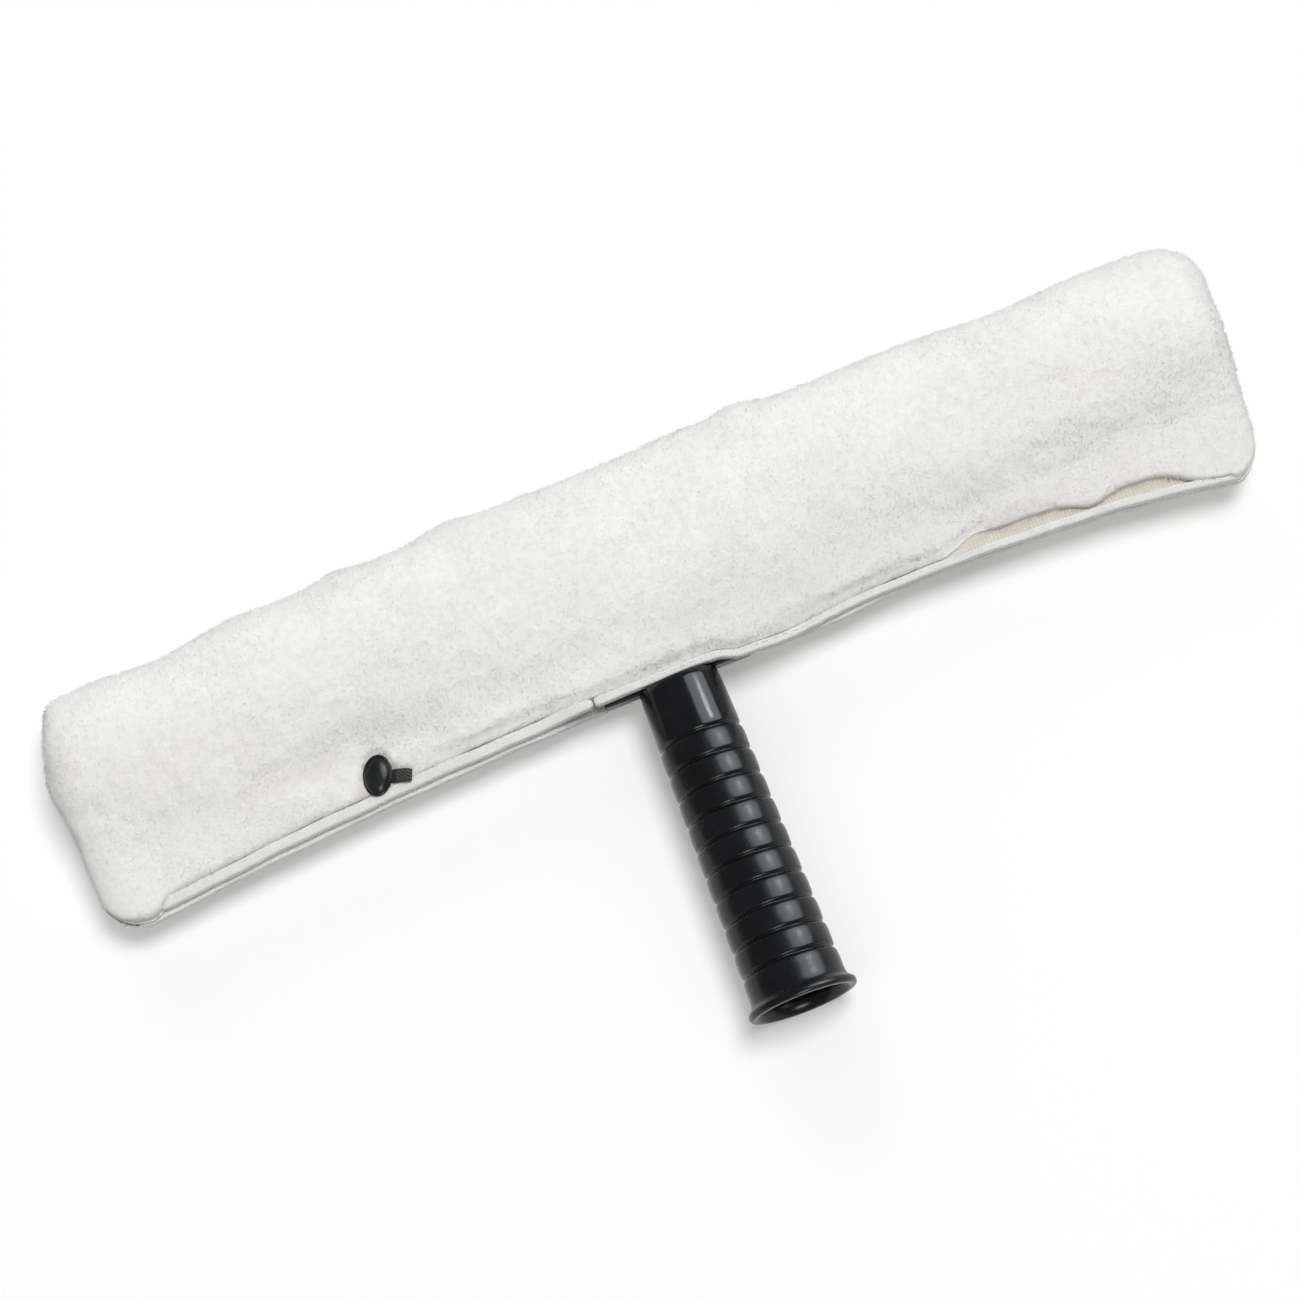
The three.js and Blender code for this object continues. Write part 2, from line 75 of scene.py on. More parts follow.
# Sleeve outline. A pair of places is where a change along the head starts and ends.
TOP = 30
HEM = -43
CREST_FOOT = 4.5
HEM_HALF = 4.6
NECK_HEM_HALF = 7.1
NECK_SPREAD = 20
FOOT_HALF = 23.3
LEFT_TOP_CORNER, RIGHT_TOP_CORNER = 6.5, 14
LEFT_HEM_CORNER, RIGHT_HEM_CORNER = 13, 14.5
LEFT_BINDING_END, RIGHT_BINDING_END = 8, 11
FRONT_BINDING_END = 22
END_ROUND = 16
END_FULLNESS = 2.7
END_THINNEST = 0.03
LEFT_TOP_DROOP, RIGHT_TOP_DROOP = 8, 1.5
LEFT_HEM_DROOP, RIGHT_HEM_DROOP = 11.5, 10.5
TOP_DROOP_POWERS, HEM_DROOP_POWERS = (1, 2), (2, 4.2)
NECK_HALF = 3.3
FRONT_RISE, BACK_RISE = 1.2, 1.3
RIGHT_RISE, RIGHT_RISE_SPAN = 1.4, (40, 80)
BACK_RIGHT_RISE, BACK_RIGHT_RISE_SPAN = 1.2, (45, 90)
FOOT_COVER = 2.1  # how far the front layer hangs over the foot, right of the handle
FOOT_COVER_START, FOOT_COVER_END = (13, 21), (28, 60)
BINDING_HEIGHT = 2.6
LEFT_BINDING_EXTRA, LEFT_EXTRA_END = 1.0, (-40, -10)
BINDING_THICKNESS = 3.6
BINDING_FADE, FRONT_BINDING_FADE = 1.2, 9
GAP = 0.3
BACKING = 1.3
COVERED_POST, COVER_REACH = 2.6, (5, 10)  # how much the backing lifts over a post, and round it
NECK_BACKING, THICKEST_BACKING = 1.2, 0.85  # shares of the neck's and of the hem's thickness
HEM_SWELL, THIN_HEM_SWELL = 1.1, 0.08  # how full the pile is above the hem, and how much less where thin
PILE_DEPTH = 0.6  # how far the skin lies inside the solid, for the tufts to stand on

# Where the front pile has drawn back from its binding: in two hollows with a bridge between
REVEAL_START, REVEAL_END = (87, 100), (155, 168)
REVEAL_HEIGHT = 3.7
BRIDGE_X, BRIDGE_REACH, BRIDGE_SHARE = 135, 6.5, 0.75
PILE_OVERLAP = 0.25  # how far the pile hangs over the bindings elsewhere
OVERLAP_WAVE, OVERLAP_WAVE_LENGTH = 0.12, 11
CORNER_OVERLAP, CORNER_OVERLAP_SPAN = 1.2, (163, 172)

# The layers' sections. The crest's rows are a share of its height and how full it is.
CREST = [(0, 0), (0.05, 0.3), (0.18, 0.57), (0.4, 0.8), (0.68, 0.94), (1, 1)]
# A slope's row is a share of the way down to the hem and how full the sleeve is there: as a
# rule, and where it is thinner, at its right end and at the studs.
SLOPE = [
    (0.02, 1, 1), (0.16, 0.95, 0.94), (0.3, 0.81, 0.77), (0.43, 0.63, 0.53),
    (0.56, 0.46, 0.31), (0.69, 0.31, 0.16), (0.82, 0.2, 0.08),
]
THIN_SPAN, THIN_STUD_REACH = (70, 105), 19
SHORT_SLOPE, SHORT_SLOPE_SPAN = 0.2, (60, 145)
SLOPE_FOOT, SLOPE_SPACING = 3.9, 1.7  # the least heights of its rows above the pile's edge
CREST_END = len(CREST) - 1
PILE_END = len(CREST) + len(SLOPE) + 2  # the step along a section at which the pile ends
PILE_FADE, LUMP_FADE = (PILE_END - 0.7, PILE_END + 0.8), (PILE_END - 5, PILE_END - 1)
BARE_STEP = PILE_END + 0.9  # the cloth is all backing from here on
MIDDLE_STATION = 60.0  # the section that the steps along all sections are taken from
FINE_STEPS, FLAP_STEPS = 2000, 400

# Soft lumps along the top edge: place, reach and height
TOP_LUMPS = [
    (-164, 12, 0.9), (-146, 8, -0.9), (-119, 12, 1.9), (-85, 9, 1.6), (-49, 10, 2.6), (-28, 10, 0.7),
    (24, 10, 0.9), (47, 8, 1.9), (98, 20, 0.7), (127, 12, -0.7), (164, 13, 1.1),
]
# Heights at the ends and how far each end leans out there, from the top edge to the hem
LEFT_END_LEAN = [
    (30, -1.2), (16, -1.2), (5, 1.6), (-2, 3.3), (-8, 3.1),
    (-14, 2), (-21, 1.1), (-36, 0.6), (-43, 0.3), (-52, -1.4),
]
RIGHT_END_LEAN = [
    (30, 2.3), (14, 1.9), (5, 1.1), (-5, 0.7), (-13, -0.2), (-21, -1.3), (-28, -1.8), (-46, -4.3),
]
END_LEAN_REACH = 30

# Closure flaps and studs
FLAP_TOP = -18
FLAP_INSET = 26
FLAP_END_MARGIN = 10
STUD_X, STUD_Y = -94, -36.8
BACK_STUD_RISE = 2.7
STUD_TURN = math.radians(-21.4)
CAP_HALF_WIDTH, CAP_HALF_LENGTH = 4.5, 6.4
TAB_HALF, TAB_OUTER = 2.1, 10.5

# Handle
HANDLE_TOP = -43.0
HANDLE_LENGTH = (HANDLE_HIGH.y - HANDLE_LOW.y) / MM
HANDLE_END = HANDLE_TOP - HANDLE_LENGTH
TOP_RADIUS, END_RADIUS, LIP_RADIUS = 12.5, 14.8, (HANDLE_HIGH.x - HANDLE_LOW.x) / 2 / MM
COLLAR, GROOVES, PITCH, GROOVE_DEPTH = 18.7, 10, 8.1, 0.75

# Fineness of the pile's surface, along the head and at its ends
CELL = 0.95
END_FINENESS = 1.4

# Factors that scramble a cell's place into a random value
HASH_FACTORS = (73856093, 19349663, 83492791)
HASH_MIX = 1274126177
SEED_SHIFT = 31.7


def smoothstep(low, high, x):
    share = np.clip((x - low) / (high - low), 0, 1)
    return share * share * (3 - 2 * share)


def between(x, start, end):
    """1 from the last place of the start to the first of the end, 0 outside both."""
    return smoothstep(*start, x) * (1 - smoothstep(*end, x))


def bell(x, middle, reach):
    return np.exp(-((x - middle) / reach) ** 2)


def noise(points, scale, seed):
    """Smooth random values from -1 to 1 that change over about scale millimetres."""
    place = np.asarray(points, float) / scale + SEED_SHIFT * seed
    cell = np.floor(place).astype(np.int64)
    part = place - cell
    weight = part ** 3 * (part * (part * 6 - 15) + 10)
    total = np.zeros(place.shape[:-1])
    for corner in itertools.product((0, 1), repeat=3):
        at = (cell + np.array(corner)) * np.array(HASH_FACTORS)
        random = at[..., 0] ^ at[..., 1] ^ at[..., 2]
        random = ((random ^ (random >> 13)) * HASH_MIX) & 0xFFFFFFFF
        value = ((random >> 8) & 0xFFFF) / 32767.5 - 1
        total += value * np.prod(np.where(corner, weight, 1 - weight), axis=-1)
    return total


# The sleeve's shape

def from_end(x):
    return np.minimum(x - LEFT, RIGHT - x)


def corner_drop(x, radius):
    """How far a corner of the given radius has drawn an edge in at x."""
    inside = np.clip(radius - from_end(x), 0, radius)
    return radius - np.sqrt(radius ** 2 - inside ** 2)


def droop(x, left, right, powers):
    reach = np.abs(x) / np.where(x < 0, -LEFT, RIGHT)
    return np.where(x < 0, left * reach ** powers[0], right * reach ** powers[1])


def top_edge(x):
    sag = droop(x, LEFT_TOP_DROOP, RIGHT_TOP_DROOP, TOP_DROOP_POWERS)
    lumps = sum(high * bell(x, at, reach) for at, reach, high in TOP_LUMPS)
    return TOP - sag + lumps - corner_drop(x, np.where(x < 0, LEFT_TOP_CORNER, RIGHT_TOP_CORNER))


def near_neck(x):
    return 1 - smoothstep(FOOT_HALF, FOOT_HALF + NECK_SPREAD, np.abs(x))


def hem_line(x, side):
    sag = droop(x, LEFT_HEM_DROOP, RIGHT_HEM_DROOP, HEM_DROOP_POWERS)
    if side > 0:
        rise = FRONT_RISE - FOOT_COVER * between(x, FOOT_COVER_START, FOOT_COVER_END)
    else:
        rise = BACK_RISE * near_neck(x) + BACK_RIGHT_RISE * smoothstep(*BACK_RIGHT_RISE_SPAN, x)
    rise = rise + RIGHT_RISE * smoothstep(*RIGHT_RISE_SPAN, x)
    return HEM - sag + corner_drop(x, np.where(x < 0, LEFT_HEM_CORNER, RIGHT_HEM_CORNER)) + rise


def end_thickness(x):
    inside = np.clip((END_ROUND - from_end(x)) / END_ROUND, 0, 1)
    return END_THINNEST + (1 - END_THINNEST) * (1 - inside ** END_FULLNESS) ** (1 / END_FULLNESS)


def bound(x, side):
    """1 where a layer's edge has its binding, 0 at the corners beyond it."""
    if side > 0:
        left, right, fade = LEFT + FRONT_BINDING_END, RIGHT - RIGHT_BINDING_END, FRONT_BINDING_FADE
    else:
        left, right, fade = LEFT + LEFT_BINDING_END, RIGHT - FLAP_END_MARGIN, BINDING_FADE
    return between(x, (left - fade, left), (right, right + BINDING_FADE))


def reveal(x):
    """1 where the front pile has drawn back from its binding, right of the handle."""
    return between(x, REVEAL_START, REVEAL_END)


def bare_strip(x, side):
    """How far above its binding the pile of a layer ends: the knit backing shows there."""
    bare = OVERLAP_WAVE * np.sin(x / OVERLAP_WAVE_LENGTH) - PILE_OVERLAP
    bare = bare - CORNER_OVERLAP * smoothstep(*CORNER_OVERLAP_SPAN, x)
    if side > 0:
        bare = bare + REVEAL_HEIGHT * reveal(x) * (1 - BRIDGE_SHARE * bell(x, BRIDGE_X, BRIDGE_REACH))
    return bare * bound(x, side)


def binding_height(x, side):
    """The front flap's binding is a little taller than the others."""
    if side < 0:
        return BINDING_HEIGHT
    return BINDING_HEIGHT + LEFT_BINDING_EXTRA * (1 - smoothstep(*LEFT_EXTRA_END, x))


def slope_points(x, side, pile_edge, hem, full, thinner):
    """The middle part of a section: from the full crest down to just above the hem."""
    reach = HEM * (1 - SHORT_SLOPE * smoothstep(*SHORT_SLOPE_SPAN, x) * (side > 0))
    points = []
    for number, (down, full_share, thin_share) in enumerate(SLOPE):
        lowest = pile_edge + SLOPE_FOOT + SLOPE_SPACING * (len(SLOPE) - 1 - number)
        thick = full_share + (thin_share - full_share) * thinner
        points.append((np.maximum(reach * down, lowest), hem + thick * (full - hem)))
    return points


def hem_points(edge, pile_edge, hem, base, thinner):
    """The lowest part: the pile turns in to its edge, and the bare backing ends below it."""
    return [
        (pile_edge + 2.2, hem * (HEM_SWELL - THIN_HEM_SWELL * thinner)),
        (pile_edge + 0.5, hem * 0.86),
        (pile_edge, base + 0.5 * (hem - base)),
        (pile_edge + 0.2, base + 0.1),
        (edge + 0.1, base),
        (edge - 0.6, base),
    ]


def section(x, side):
    """Control points of a layer's outer line at each x, from the top seam to the hem."""
    top, edge = top_edge(x), hem_line(x, side) + (binding_height(x, side) + GAP) * bound(x, side)
    pile_edge = edge + bare_strip(x, side)
    thin = end_thickness(x)
    full = (FULL_HALF - PILE_DEPTH) * thin
    neck = (NECK_HEM_HALF - HEM_HALF) * near_neck(x)
    hem = (HEM_HALF + neck) * thin
    cover = COVERED_POST * (1 - smoothstep(*COVER_REACH, np.abs(x + STUD_X * side)))
    base = np.minimum(BACKING + cover + neck * NECK_BACKING, THICKEST_BACKING * hem)
    thinner = np.maximum(smoothstep(*THIN_SPAN, x), bell(x * side, STUD_X, THIN_STUD_REACH))
    points = [(top - down * (top - CREST_FOOT), thick * full) for down, thick in CREST]
    points += slope_points(x, side, pile_edge, hem, full, thinner)
    points += hem_points(edge, pile_edge, hem, base, thinner)
    return np.stack([np.stack([np.broadcast_to(v, x.shape) for v in p], -1) for p in points])


def along(points, t):
    """Catmull-Rom points at t, in steps of the control points."""
    last = len(points) - 1
    low = np.clip(np.floor(t).astype(int), 0, last - 1)
    u = (t - low)[:, None, None]
    p0, p1 = points[np.maximum(low - 1, 0)], points[low]
    p2, p3 = points[low + 1], points[np.minimum(low + 2, last)]
    return 0.5 * (2 * p1 + (p2 - p0) * u + (2 * p0 - 5 * p1 + 4 * p2 - p3) * u ** 2
                  + (3 * p1 - p0 - 3 * p2 + p3) * u ** 3)


def even_steps(side, cell):
    """Steps along the section that are about one cell apart at the sleeve's middle."""
    points = section(np.array([MIDDLE_STATION]), side)
    fine = np.linspace(0, len(points) - 1, FINE_STEPS)
    line = along(points, fine)[:, 0]
    length = np.concatenate([[0], np.cumsum(np.linalg.norm(np.diff(line, axis=0), axis=1))])
    count = int(round(length[-1] / cell))
    return np.interp(np.linspace(0, length[-1], count + 1), length, fine)


def columns(cell):
    """Stations along the head, finer at its ends, with one on each end of each flap."""
    body = np.linspace(LEFT + END_ROUND, RIGHT - END_ROUND, int((RIGHT - LEFT) / cell))
    turn = np.linspace(0, math.pi / 2, int(END_FINENESS * END_ROUND / cell))
    end = END_ROUND * (1 - np.cos(turn))[:-1]
    x = np.concatenate([LEFT + end, body, (RIGHT - end)[::-1]])
    for stop in (LEFT + FLAP_END_MARGIN, -FLAP_INSET, FLAP_INSET, RIGHT - FLAP_END_MARGIN):
        x[np.argmin(np.abs(x - stop))] = stop
    return x


def end_lean(x, y):
    """How far the sleeve's ends bow and lean sideways at a place on it."""
    near_left = smoothstep(LEFT + END_LEAN_REACH, LEFT, x)
    near_right = smoothstep(RIGHT - END_LEAN_REACH, RIGHT, x)
    heights, out = np.array(LEFT_END_LEAN[::-1]).T
    shift = -near_left * np.interp(y, heights, out)
    heights, out = np.array(RIGHT_END_LEAN[::-1]).T
    return shift + near_right * np.interp(y, heights, out)


def wrap(cell):
    """The sleeve's whole outer skin as a grid that runs from the front hem over the top
    seam to the back hem. Returns the points, each row's step and side, and the stations."""
    x = columns(cell)
    sides, steps, rows = [], [], []
    for side in (1, -1):
        t = even_steps(side, cell)
        line = along(section(x, side), t)
        skin = np.stack([np.broadcast_to(x, line.shape[:2]), line[..., 0], side * line[..., 1]], -1)
        order = slice(None, None, -1) if side > 0 else slice(1, None)
        rows.append(skin[order])
        steps.append(t[order])
        sides.append(np.full(len(t[order]), side))
    skin = np.concatenate(rows)
    skin[..., 0] += end_lean(skin[..., 0], skin[..., 1])
    return skin, np.concatenate(steps), np.concatenate(sides), x


def outward(skin):
    across = np.gradient(skin, axis=1)
    down = np.gradient(skin, axis=0)
    normal = np.cross(across, down)
    return normal / np.maximum(np.linalg.norm(normal, axis=-1, keepdims=True), 1e-9)


# The pile: soft lumps, dents where the photograph shows them, and tufts

# Each dent is its place, its reach along and across the head and its depth.
DENTS = [
    (-18, 8, 14, 5, 0.5),
    (122, -3, 26, 11, 1.2),
    (139, -3, 7, 4, 0.6),
    (-112, -28, 17, 5, 1.0),
    (-124, -27, 9, 3, 0.5),
    (-150, -12, 24, 12, 0.7),
    (60, -22, 30, 5, 0.6),
    (STUD_X, STUD_Y + 6, 15, 11, 1.3),
]
# Faint cream patches in the pile: place, reach along and across the head and strength
CREAM_SPOTS = [
    (-119, -29.5, 17, 3.2, 0.42), (-180, -3, 5, 6, 0.25), (-96, -31, 7, 2, 0.2),
    (126, -33, 30, 2, 0.25), (-143, -13, 32, 14, 0.15), (141, -5, 24, 11, 0.12),
]
# Height, breadth and seed of the soft lumps and of the tufts
LUMPS = [(0.45, 52, 1), (0.4, 24, 2), (0.22, 11, 3)]
TUFTS = [(0.22, 3.4, 4), (0.17, 1.9, 5)]

# How high the pile stands under the caps and tabs, and over what distances it rises again
CAP_FLOOR, TAB_FLOOR = 3.8, 2.7
CAP_EDGE, TAB_EDGE, TAB_RISE = (-0.5, 1.0), (0, 0.8), (4.5, 8)
BEHIND_CAP = 9  # more than the tab's edge reaches: there is no tab on that side
KNIT_EDGE, KNIT_SIDE = (0.6, 4.2), (-5, 5)
PRESSED_TUFTS = 0.75
BACKING_CREAM = 0.15

# Room for the crossbar and its neck inside the sleeve
SEAM_ALLOWANCE = 4.5
BAR_ROOM, BAR_ROOM_EDGE, BAR_ROOM_END = 7.6, (14.5, 23), (0.6, 7)
NECK_CLEARANCE, NECK_ROOM_END = 0.1, (32, 42)
LEAST_ROOM, ROOM_SHARE, ROOM_EXTRA = 0.15, 0.6, 0.02


def front_spots(skin, spots):
    """Each soft oval spot on the front, as its strength at every place of the skin."""
    for x, y, reach_x, reach_y, strength in spots:
        away = ((skin[..., 0] - x) / reach_x) ** 2 + ((skin[..., 1] - y) / reach_y) ** 2
        yield strength * np.exp(-away) * (skin[..., 2] > 0)


def waves(skin, layers):
    return sum(height * noise(skin, breadth, seed) for height, breadth, seed in layers)


def stud_y(side):
    return STUD_Y if side > 0 else STUD_Y + BACK_STUD_RISE


def stud_place(skin, side):
    """Places on the skin as seen from a stud, along its cap's two axes."""
    across, up = side * skin[..., 0] - STUD_X, skin[..., 1] - stud_y(side)
    c, s = math.cos(STUD_TURN), math.sin(STUD_TURN)
    return across * c + up * s, up * c - across * s


def stud_rooms(skin):
    """How far up the pile may stand at each place under and round the caps and their
    tabs, how far it is pressed to that height, and how much of the knit shows there."""
    room, knit = np.zeros((2,) + skin.shape[:2])
    height = np.full(skin.shape[:2], CAP_FLOOR)
    for side in (1, -1):
        a, b = stud_place(skin, side)
        facing = skin[..., 2] * side > 0
        cap = (np.hypot(a / CAP_HALF_WIDTH, b / CAP_HALF_LENGTH) - 1) * CAP_HALF_WIDTH
        tab = np.maximum(np.maximum(np.abs(b) - TAB_HALF, a - TAB_OUTER), np.where(a > 0, 0, BEHIND_CAP))
        slot = (1 - smoothstep(*TAB_EDGE, tab)) * facing
        room = np.maximum(room, np.maximum((1 - smoothstep(*CAP_EDGE, cap)) * facing, slot))
        tab_height = TAB_FLOOR + (CAP_FLOOR - TAB_FLOOR) * smoothstep(*TAB_RISE, a)
        height = np.where(slot > 0, tab_height, height)
        toward = smoothstep(*KNIT_SIDE, 0.5 * a - b)
        knit = np.maximum(knit, (1 - smoothstep(*KNIT_EDGE, cap)) * toward * facing)
    return height, room, knit


def furred(skin, steps):
    """The skin with its lumps and tufts, how much of each point is pile and how cream
    its colour is."""
    normal = outward(skin)
    pile = (1 - smoothstep(*PILE_FADE, steps))[:, None] * np.ones(skin.shape[:2])
    soft = (1 - smoothstep(*LUMP_FADE, steps))[:, None]
    floor, room, knit = stud_rooms(skin)
    lumps = soft * (waves(skin, LUMPS) - sum(front_spots(skin, DENTS)))
    rise = lumps + pile * (1 - PRESSED_TUFTS * room) * waves(skin, TUFTS)
    points = skin + normal * rise[..., None]
    height = np.abs(points[..., 2])
    pressed = np.minimum(height, floor)
    points[..., 2] = np.sign(points[..., 2]) * (height + (pressed - height) * room)
    bare_cream = BACKING_CREAM + (1 - BACKING_CREAM) * reveal(skin[..., 0])
    cream = np.maximum(np.max(list(front_spots(skin, CREAM_SPOTS)), axis=0), (1 - pile) * bare_cream)
    return points, pile * (1 - knit), np.maximum(cream, knit)


def lining(skin, steps, sides):
    """The inner face of the cloth: over the crossbar and its neck, else near the mid-plane."""
    x, y, z = skin[..., 0], skin[..., 1], np.abs(skin[..., 2])
    crest = np.clip(1 - steps / CREST_END, 0, 1)[:, None]
    inner_y = y - SEAM_ALLOWANCE * crest * end_thickness(x)
    on_bar = 1 - smoothstep(*BAR_ROOM_END, np.abs(x) - BAR_HALF_LENGTH)
    bar = BAR_ROOM * (1 - smoothstep(*BAR_ROOM_EDGE, np.abs(inner_y))) * on_bar
    neck = (NECK_HALF + NECK_CLEARANCE) * (1 - smoothstep(*NECK_ROOM_END, np.abs(x))) * (inner_y < 0)
    inner_z = np.maximum(np.maximum(bar, neck), LEAST_ROOM)
    inner_z = np.minimum(inner_z, ROOM_SHARE * z + ROOM_EXTRA)
    return np.stack([x, inner_y, sides[:, None] * inner_z], -1)


# Meshes

LINING_CREAM = 0.6


def mesh_object(name, points, faces, materials, face_materials=None):
    mesh = bpy.data.meshes.new(name)
    mesh.from_pydata(((np.asarray(points) * MM) + ORIGIN).tolist(), [], faces)
    for one in materials:
        mesh.materials.append(one)
    if face_materials is not None:
        mesh.polygons.foreach_set("material_index", np.asarray(face_materials, np.int32))
    mesh.polygons.foreach_set("use_smooth", np.ones(len(mesh.polygons), bool))
    mesh.update()
    piece = bpy.data.objects.new(name, mesh)
    bpy.context.scene.collection.objects.link(piece)
    return piece


def add_values(piece, name, kind, domain, values):
    piece.data.attributes.new(name, kind, domain).data.foreach_set("value", values)


def shell(name, outer, inner, chosen, bare, pile, cream):
    """A closed piece of cloth: the chosen cells of two grids, joined along their rim."""
    rows, cols = np.nonzero(chosen)
    width = chosen.shape[1] + 1
    first = rows * width + cols
    corners = [first, first + 1, first + width + 1, first + width]
    used, number = np.unique(np.stack(corners, 1), return_inverse=True)
    quads = number.reshape(-1, 4)
    count = len(used)
    padded = np.pad(chosen, 1)
    rims = []
    for k, (down, across) in enumerate([(-1, 0), (0, 1), (1, 0), (0, -1)]):
        open_edge = ~padded[rows + 1 + down, cols + 1 + across]
        a, b = quads[open_edge, k], quads[open_edge, (k + 1) % 4]
        rims.append(np.stack([b, a, a + count, b + count], 1))
    rim = np.concatenate(rims)
    faces = np.concatenate([quads, quads[:, ::-1] + count, rim])
    points = np.concatenate([outer.reshape(-1, 3)[used], inner.reshape(-1, 3)[used]])
    lined = np.concatenate([bare[rows, cols], np.ones(len(quads) + len(rim))]).astype(int)
    piece = mesh_object(name, points, faces.tolist(), [FLEECE, KNIT], lined)
    for value, values, inside in (("pile", pile, 0), ("cream", cream, LINING_CREAM)):
        values = np.concatenate([values.reshape(-1)[used], np.full(count, inside)])
        add_values(piece, value, "FLOAT", "POINT", values.astype(np.float32))
    rim_edges = {tuple(sorted(pair)) for pair in rim[:, :2].tolist()}
    sharp = [tuple(sorted(e.vertices)) in rim_edges for e in piece.data.edges]
    add_values(piece, "sharp_edge", "BOOLEAN", "EDGE", sharp)
    return piece


# Simulation

SIM_CELL = 4.0
SIM_START = 0.7  # the cloth starts this much inside its final skin
SIM_CAP = 1.6
SIM_FRAMES, SIM_QUALITY, SIM_PRESSURE = 20, 6, 4
SIM_SEAM_FADE, SIM_HEM_FADE = (1, 4), (9, 12.5)  # in steps of the section
SIM_END_FADE = (2, 20)


def cloth_grid(start, seam_row):
    """A coarse cloth of the sleeve's shape, held along its top seam, hems and ends."""
    rows, cols = start.shape[:2]
    index = np.arange(rows * cols).reshape(rows, cols)
    quads = np.stack([index[:-1, :-1], index[:-1, 1:], index[1:, 1:], index[1:, :-1]], -1)
    quads = quads.reshape(-1, 4).tolist()
    piece = facing_out(mesh_object("sleeve_sim", start.reshape(-1, 3), quads, []))
    held = piece.vertex_groups.new(name="held")
    hems = [index[:2].ravel(), index[-2:].ravel()]
    edge = np.concatenate(hems + [index[seam_row], index[:, 0], index[:, -1]])
    held.add(np.unique(edge).tolist(), 1.0, "REPLACE")
    cloth = piece.modifiers.new("cloth", "CLOTH")
    cloth.settings.quality = SIM_QUALITY
    cloth.settings.use_pressure = True
    cloth.settings.uniform_pressure_force = SIM_PRESSURE
    cloth.settings.effector_weights.gravity = 0
    cloth.settings.vertex_group_mass = "held"
    cloth.point_cache.frame_start, cloth.point_cache.frame_end = 1, SIM_FRAMES
    return piece


def simulated_grid():
    """How the coarse cloth moves when a light pressure fills it. Returns its rows, its
    stations and the capped moves, which fade out towards the seam, the hems and the ends."""
    skin, steps, sides, x = wrap(SIM_CELL)
    piece = cloth_grid(skin - SIM_START * outward(skin), np.argmin(steps))
    for frame_number in range(1, SIM_FRAMES + 1):
        bpy.context.scene.frame_set(frame_number)
    depsgraph = bpy.context.evaluated_depsgraph_get()
    settled = piece.evaluated_get(depsgraph).to_mesh()
    moved = np.array([v.co for v in settled.vertices]).reshape(skin.shape)
    moved = (moved - ORIGIN) / MM - skin
    bpy.data.objects.remove(piece, do_unlink=True)
    bpy.context.scene.frame_set(1)
    size = np.linalg.norm(moved, axis=-1, keepdims=True)
    moved *= np.minimum(1, SIM_CAP / np.maximum(size, 1e-6))
    inside = between(steps, SIM_SEAM_FADE, SIM_HEM_FADE)[:, None, None]
    return sides * steps, x, moved * inside * smoothstep(*SIM_END_FADE, from_end(x))[:, None]


def simulated_shift(steps, sides, x):
    coarse_rows, coarse_x, moves = simulated_grid()
    row = np.interp(-sides * steps, -coarse_rows, np.arange(len(coarse_rows)))
    col = np.interp(x, coarse_x, np.arange(len(coarse_x)))
    r = np.minimum(row.astype(int), len(coarse_rows) - 2)
    c = np.minimum(col.astype(int), len(coarse_x) - 2)
    down, across = (row - r)[:, None, None], (col - c)[None, :, None]
    r, c = r[:, None], c[None, :]
    upper = moves[r, c] * (1 - across) + moves[r, c + 1] * across
    lower = moves[r + 1, c] * (1 - across) + moves[r + 1, c + 1] * across
    return upper * (1 - down) + lower * down


# Turned and swept forms

def rounded(corners, steps=4):
    """A profile of (radius, place, rounding) corners with each corner rounded off."""
    line = []
    last = len(corners) - 1
    for k, (r, y, rounding) in enumerate(corners):
        here = np.array([r, y], float)
        if not rounding or k in (0, last):
            line.append(here)
            continue
        before, after = np.array(corners[k - 1][:2], float), np.array(corners[k + 1][:2], float)
        cut = [min(rounding, 0.49 * np.linalg.norm(p - here)) for p in (before, after)]
        start = here + (before - here) / np.linalg.norm(before - here) * cut[0]
        end = here + (after - here) / np.linalg.norm(after - here) * cut[1]
        for u in np.linspace(0, 1, steps):
            line.append((1 - u) ** 2 * start + 2 * u * (1 - u) * here + u ** 2 * end)
    return np.array(line)


def lathe(profile, segments, closed=False):
    """Points and faces of a profile of (radius, place) turned round Z. An open profile
    starts and ends on the axis."""
    turn = np.arange(segments) / segments * 2 * math.pi
    inner = profile if closed else profile[1:-1]
    points = [(r * math.cos(a), r * math.sin(a), z) for r, z in inner for a in turn]
    rings = len(inner)
    faces = []
    for i in range(rings if closed else rings - 1):
        here, above = i * segments, (i + 1) % rings * segments
        for k in range(segments):
            after = (k + 1) % segments
            faces.append((here + k, here + after, above + after, above + k))
    if not closed:
        first, last = len(points), len(points) + 1
        points += [(0, 0, profile[0][1]), (0, 0, profile[-1][1])]
        foot = (rings - 1) * segments
        for k in range(segments):
            faces.append((first, (k + 1) % segments, k))
            faces.append((last, foot + k, foot + (k + 1) % segments))
    return np.array(points, float), faces


def tube_faces(rings, size, start=0):
    """Faces between rings of size points each, with one across each end."""
    faces = []
    for i in range(start, start + (rings - 1) * size, size):
        for k in range(size):
            a, b = i + k, i + (k + 1) % size
            faces.append((a, b, b + size, a + size))
    faces.append(tuple(range(start, start + size))[::-1])
    faces.append(tuple(start + (rings - 1) * size + k for k in range(size)))
    return faces


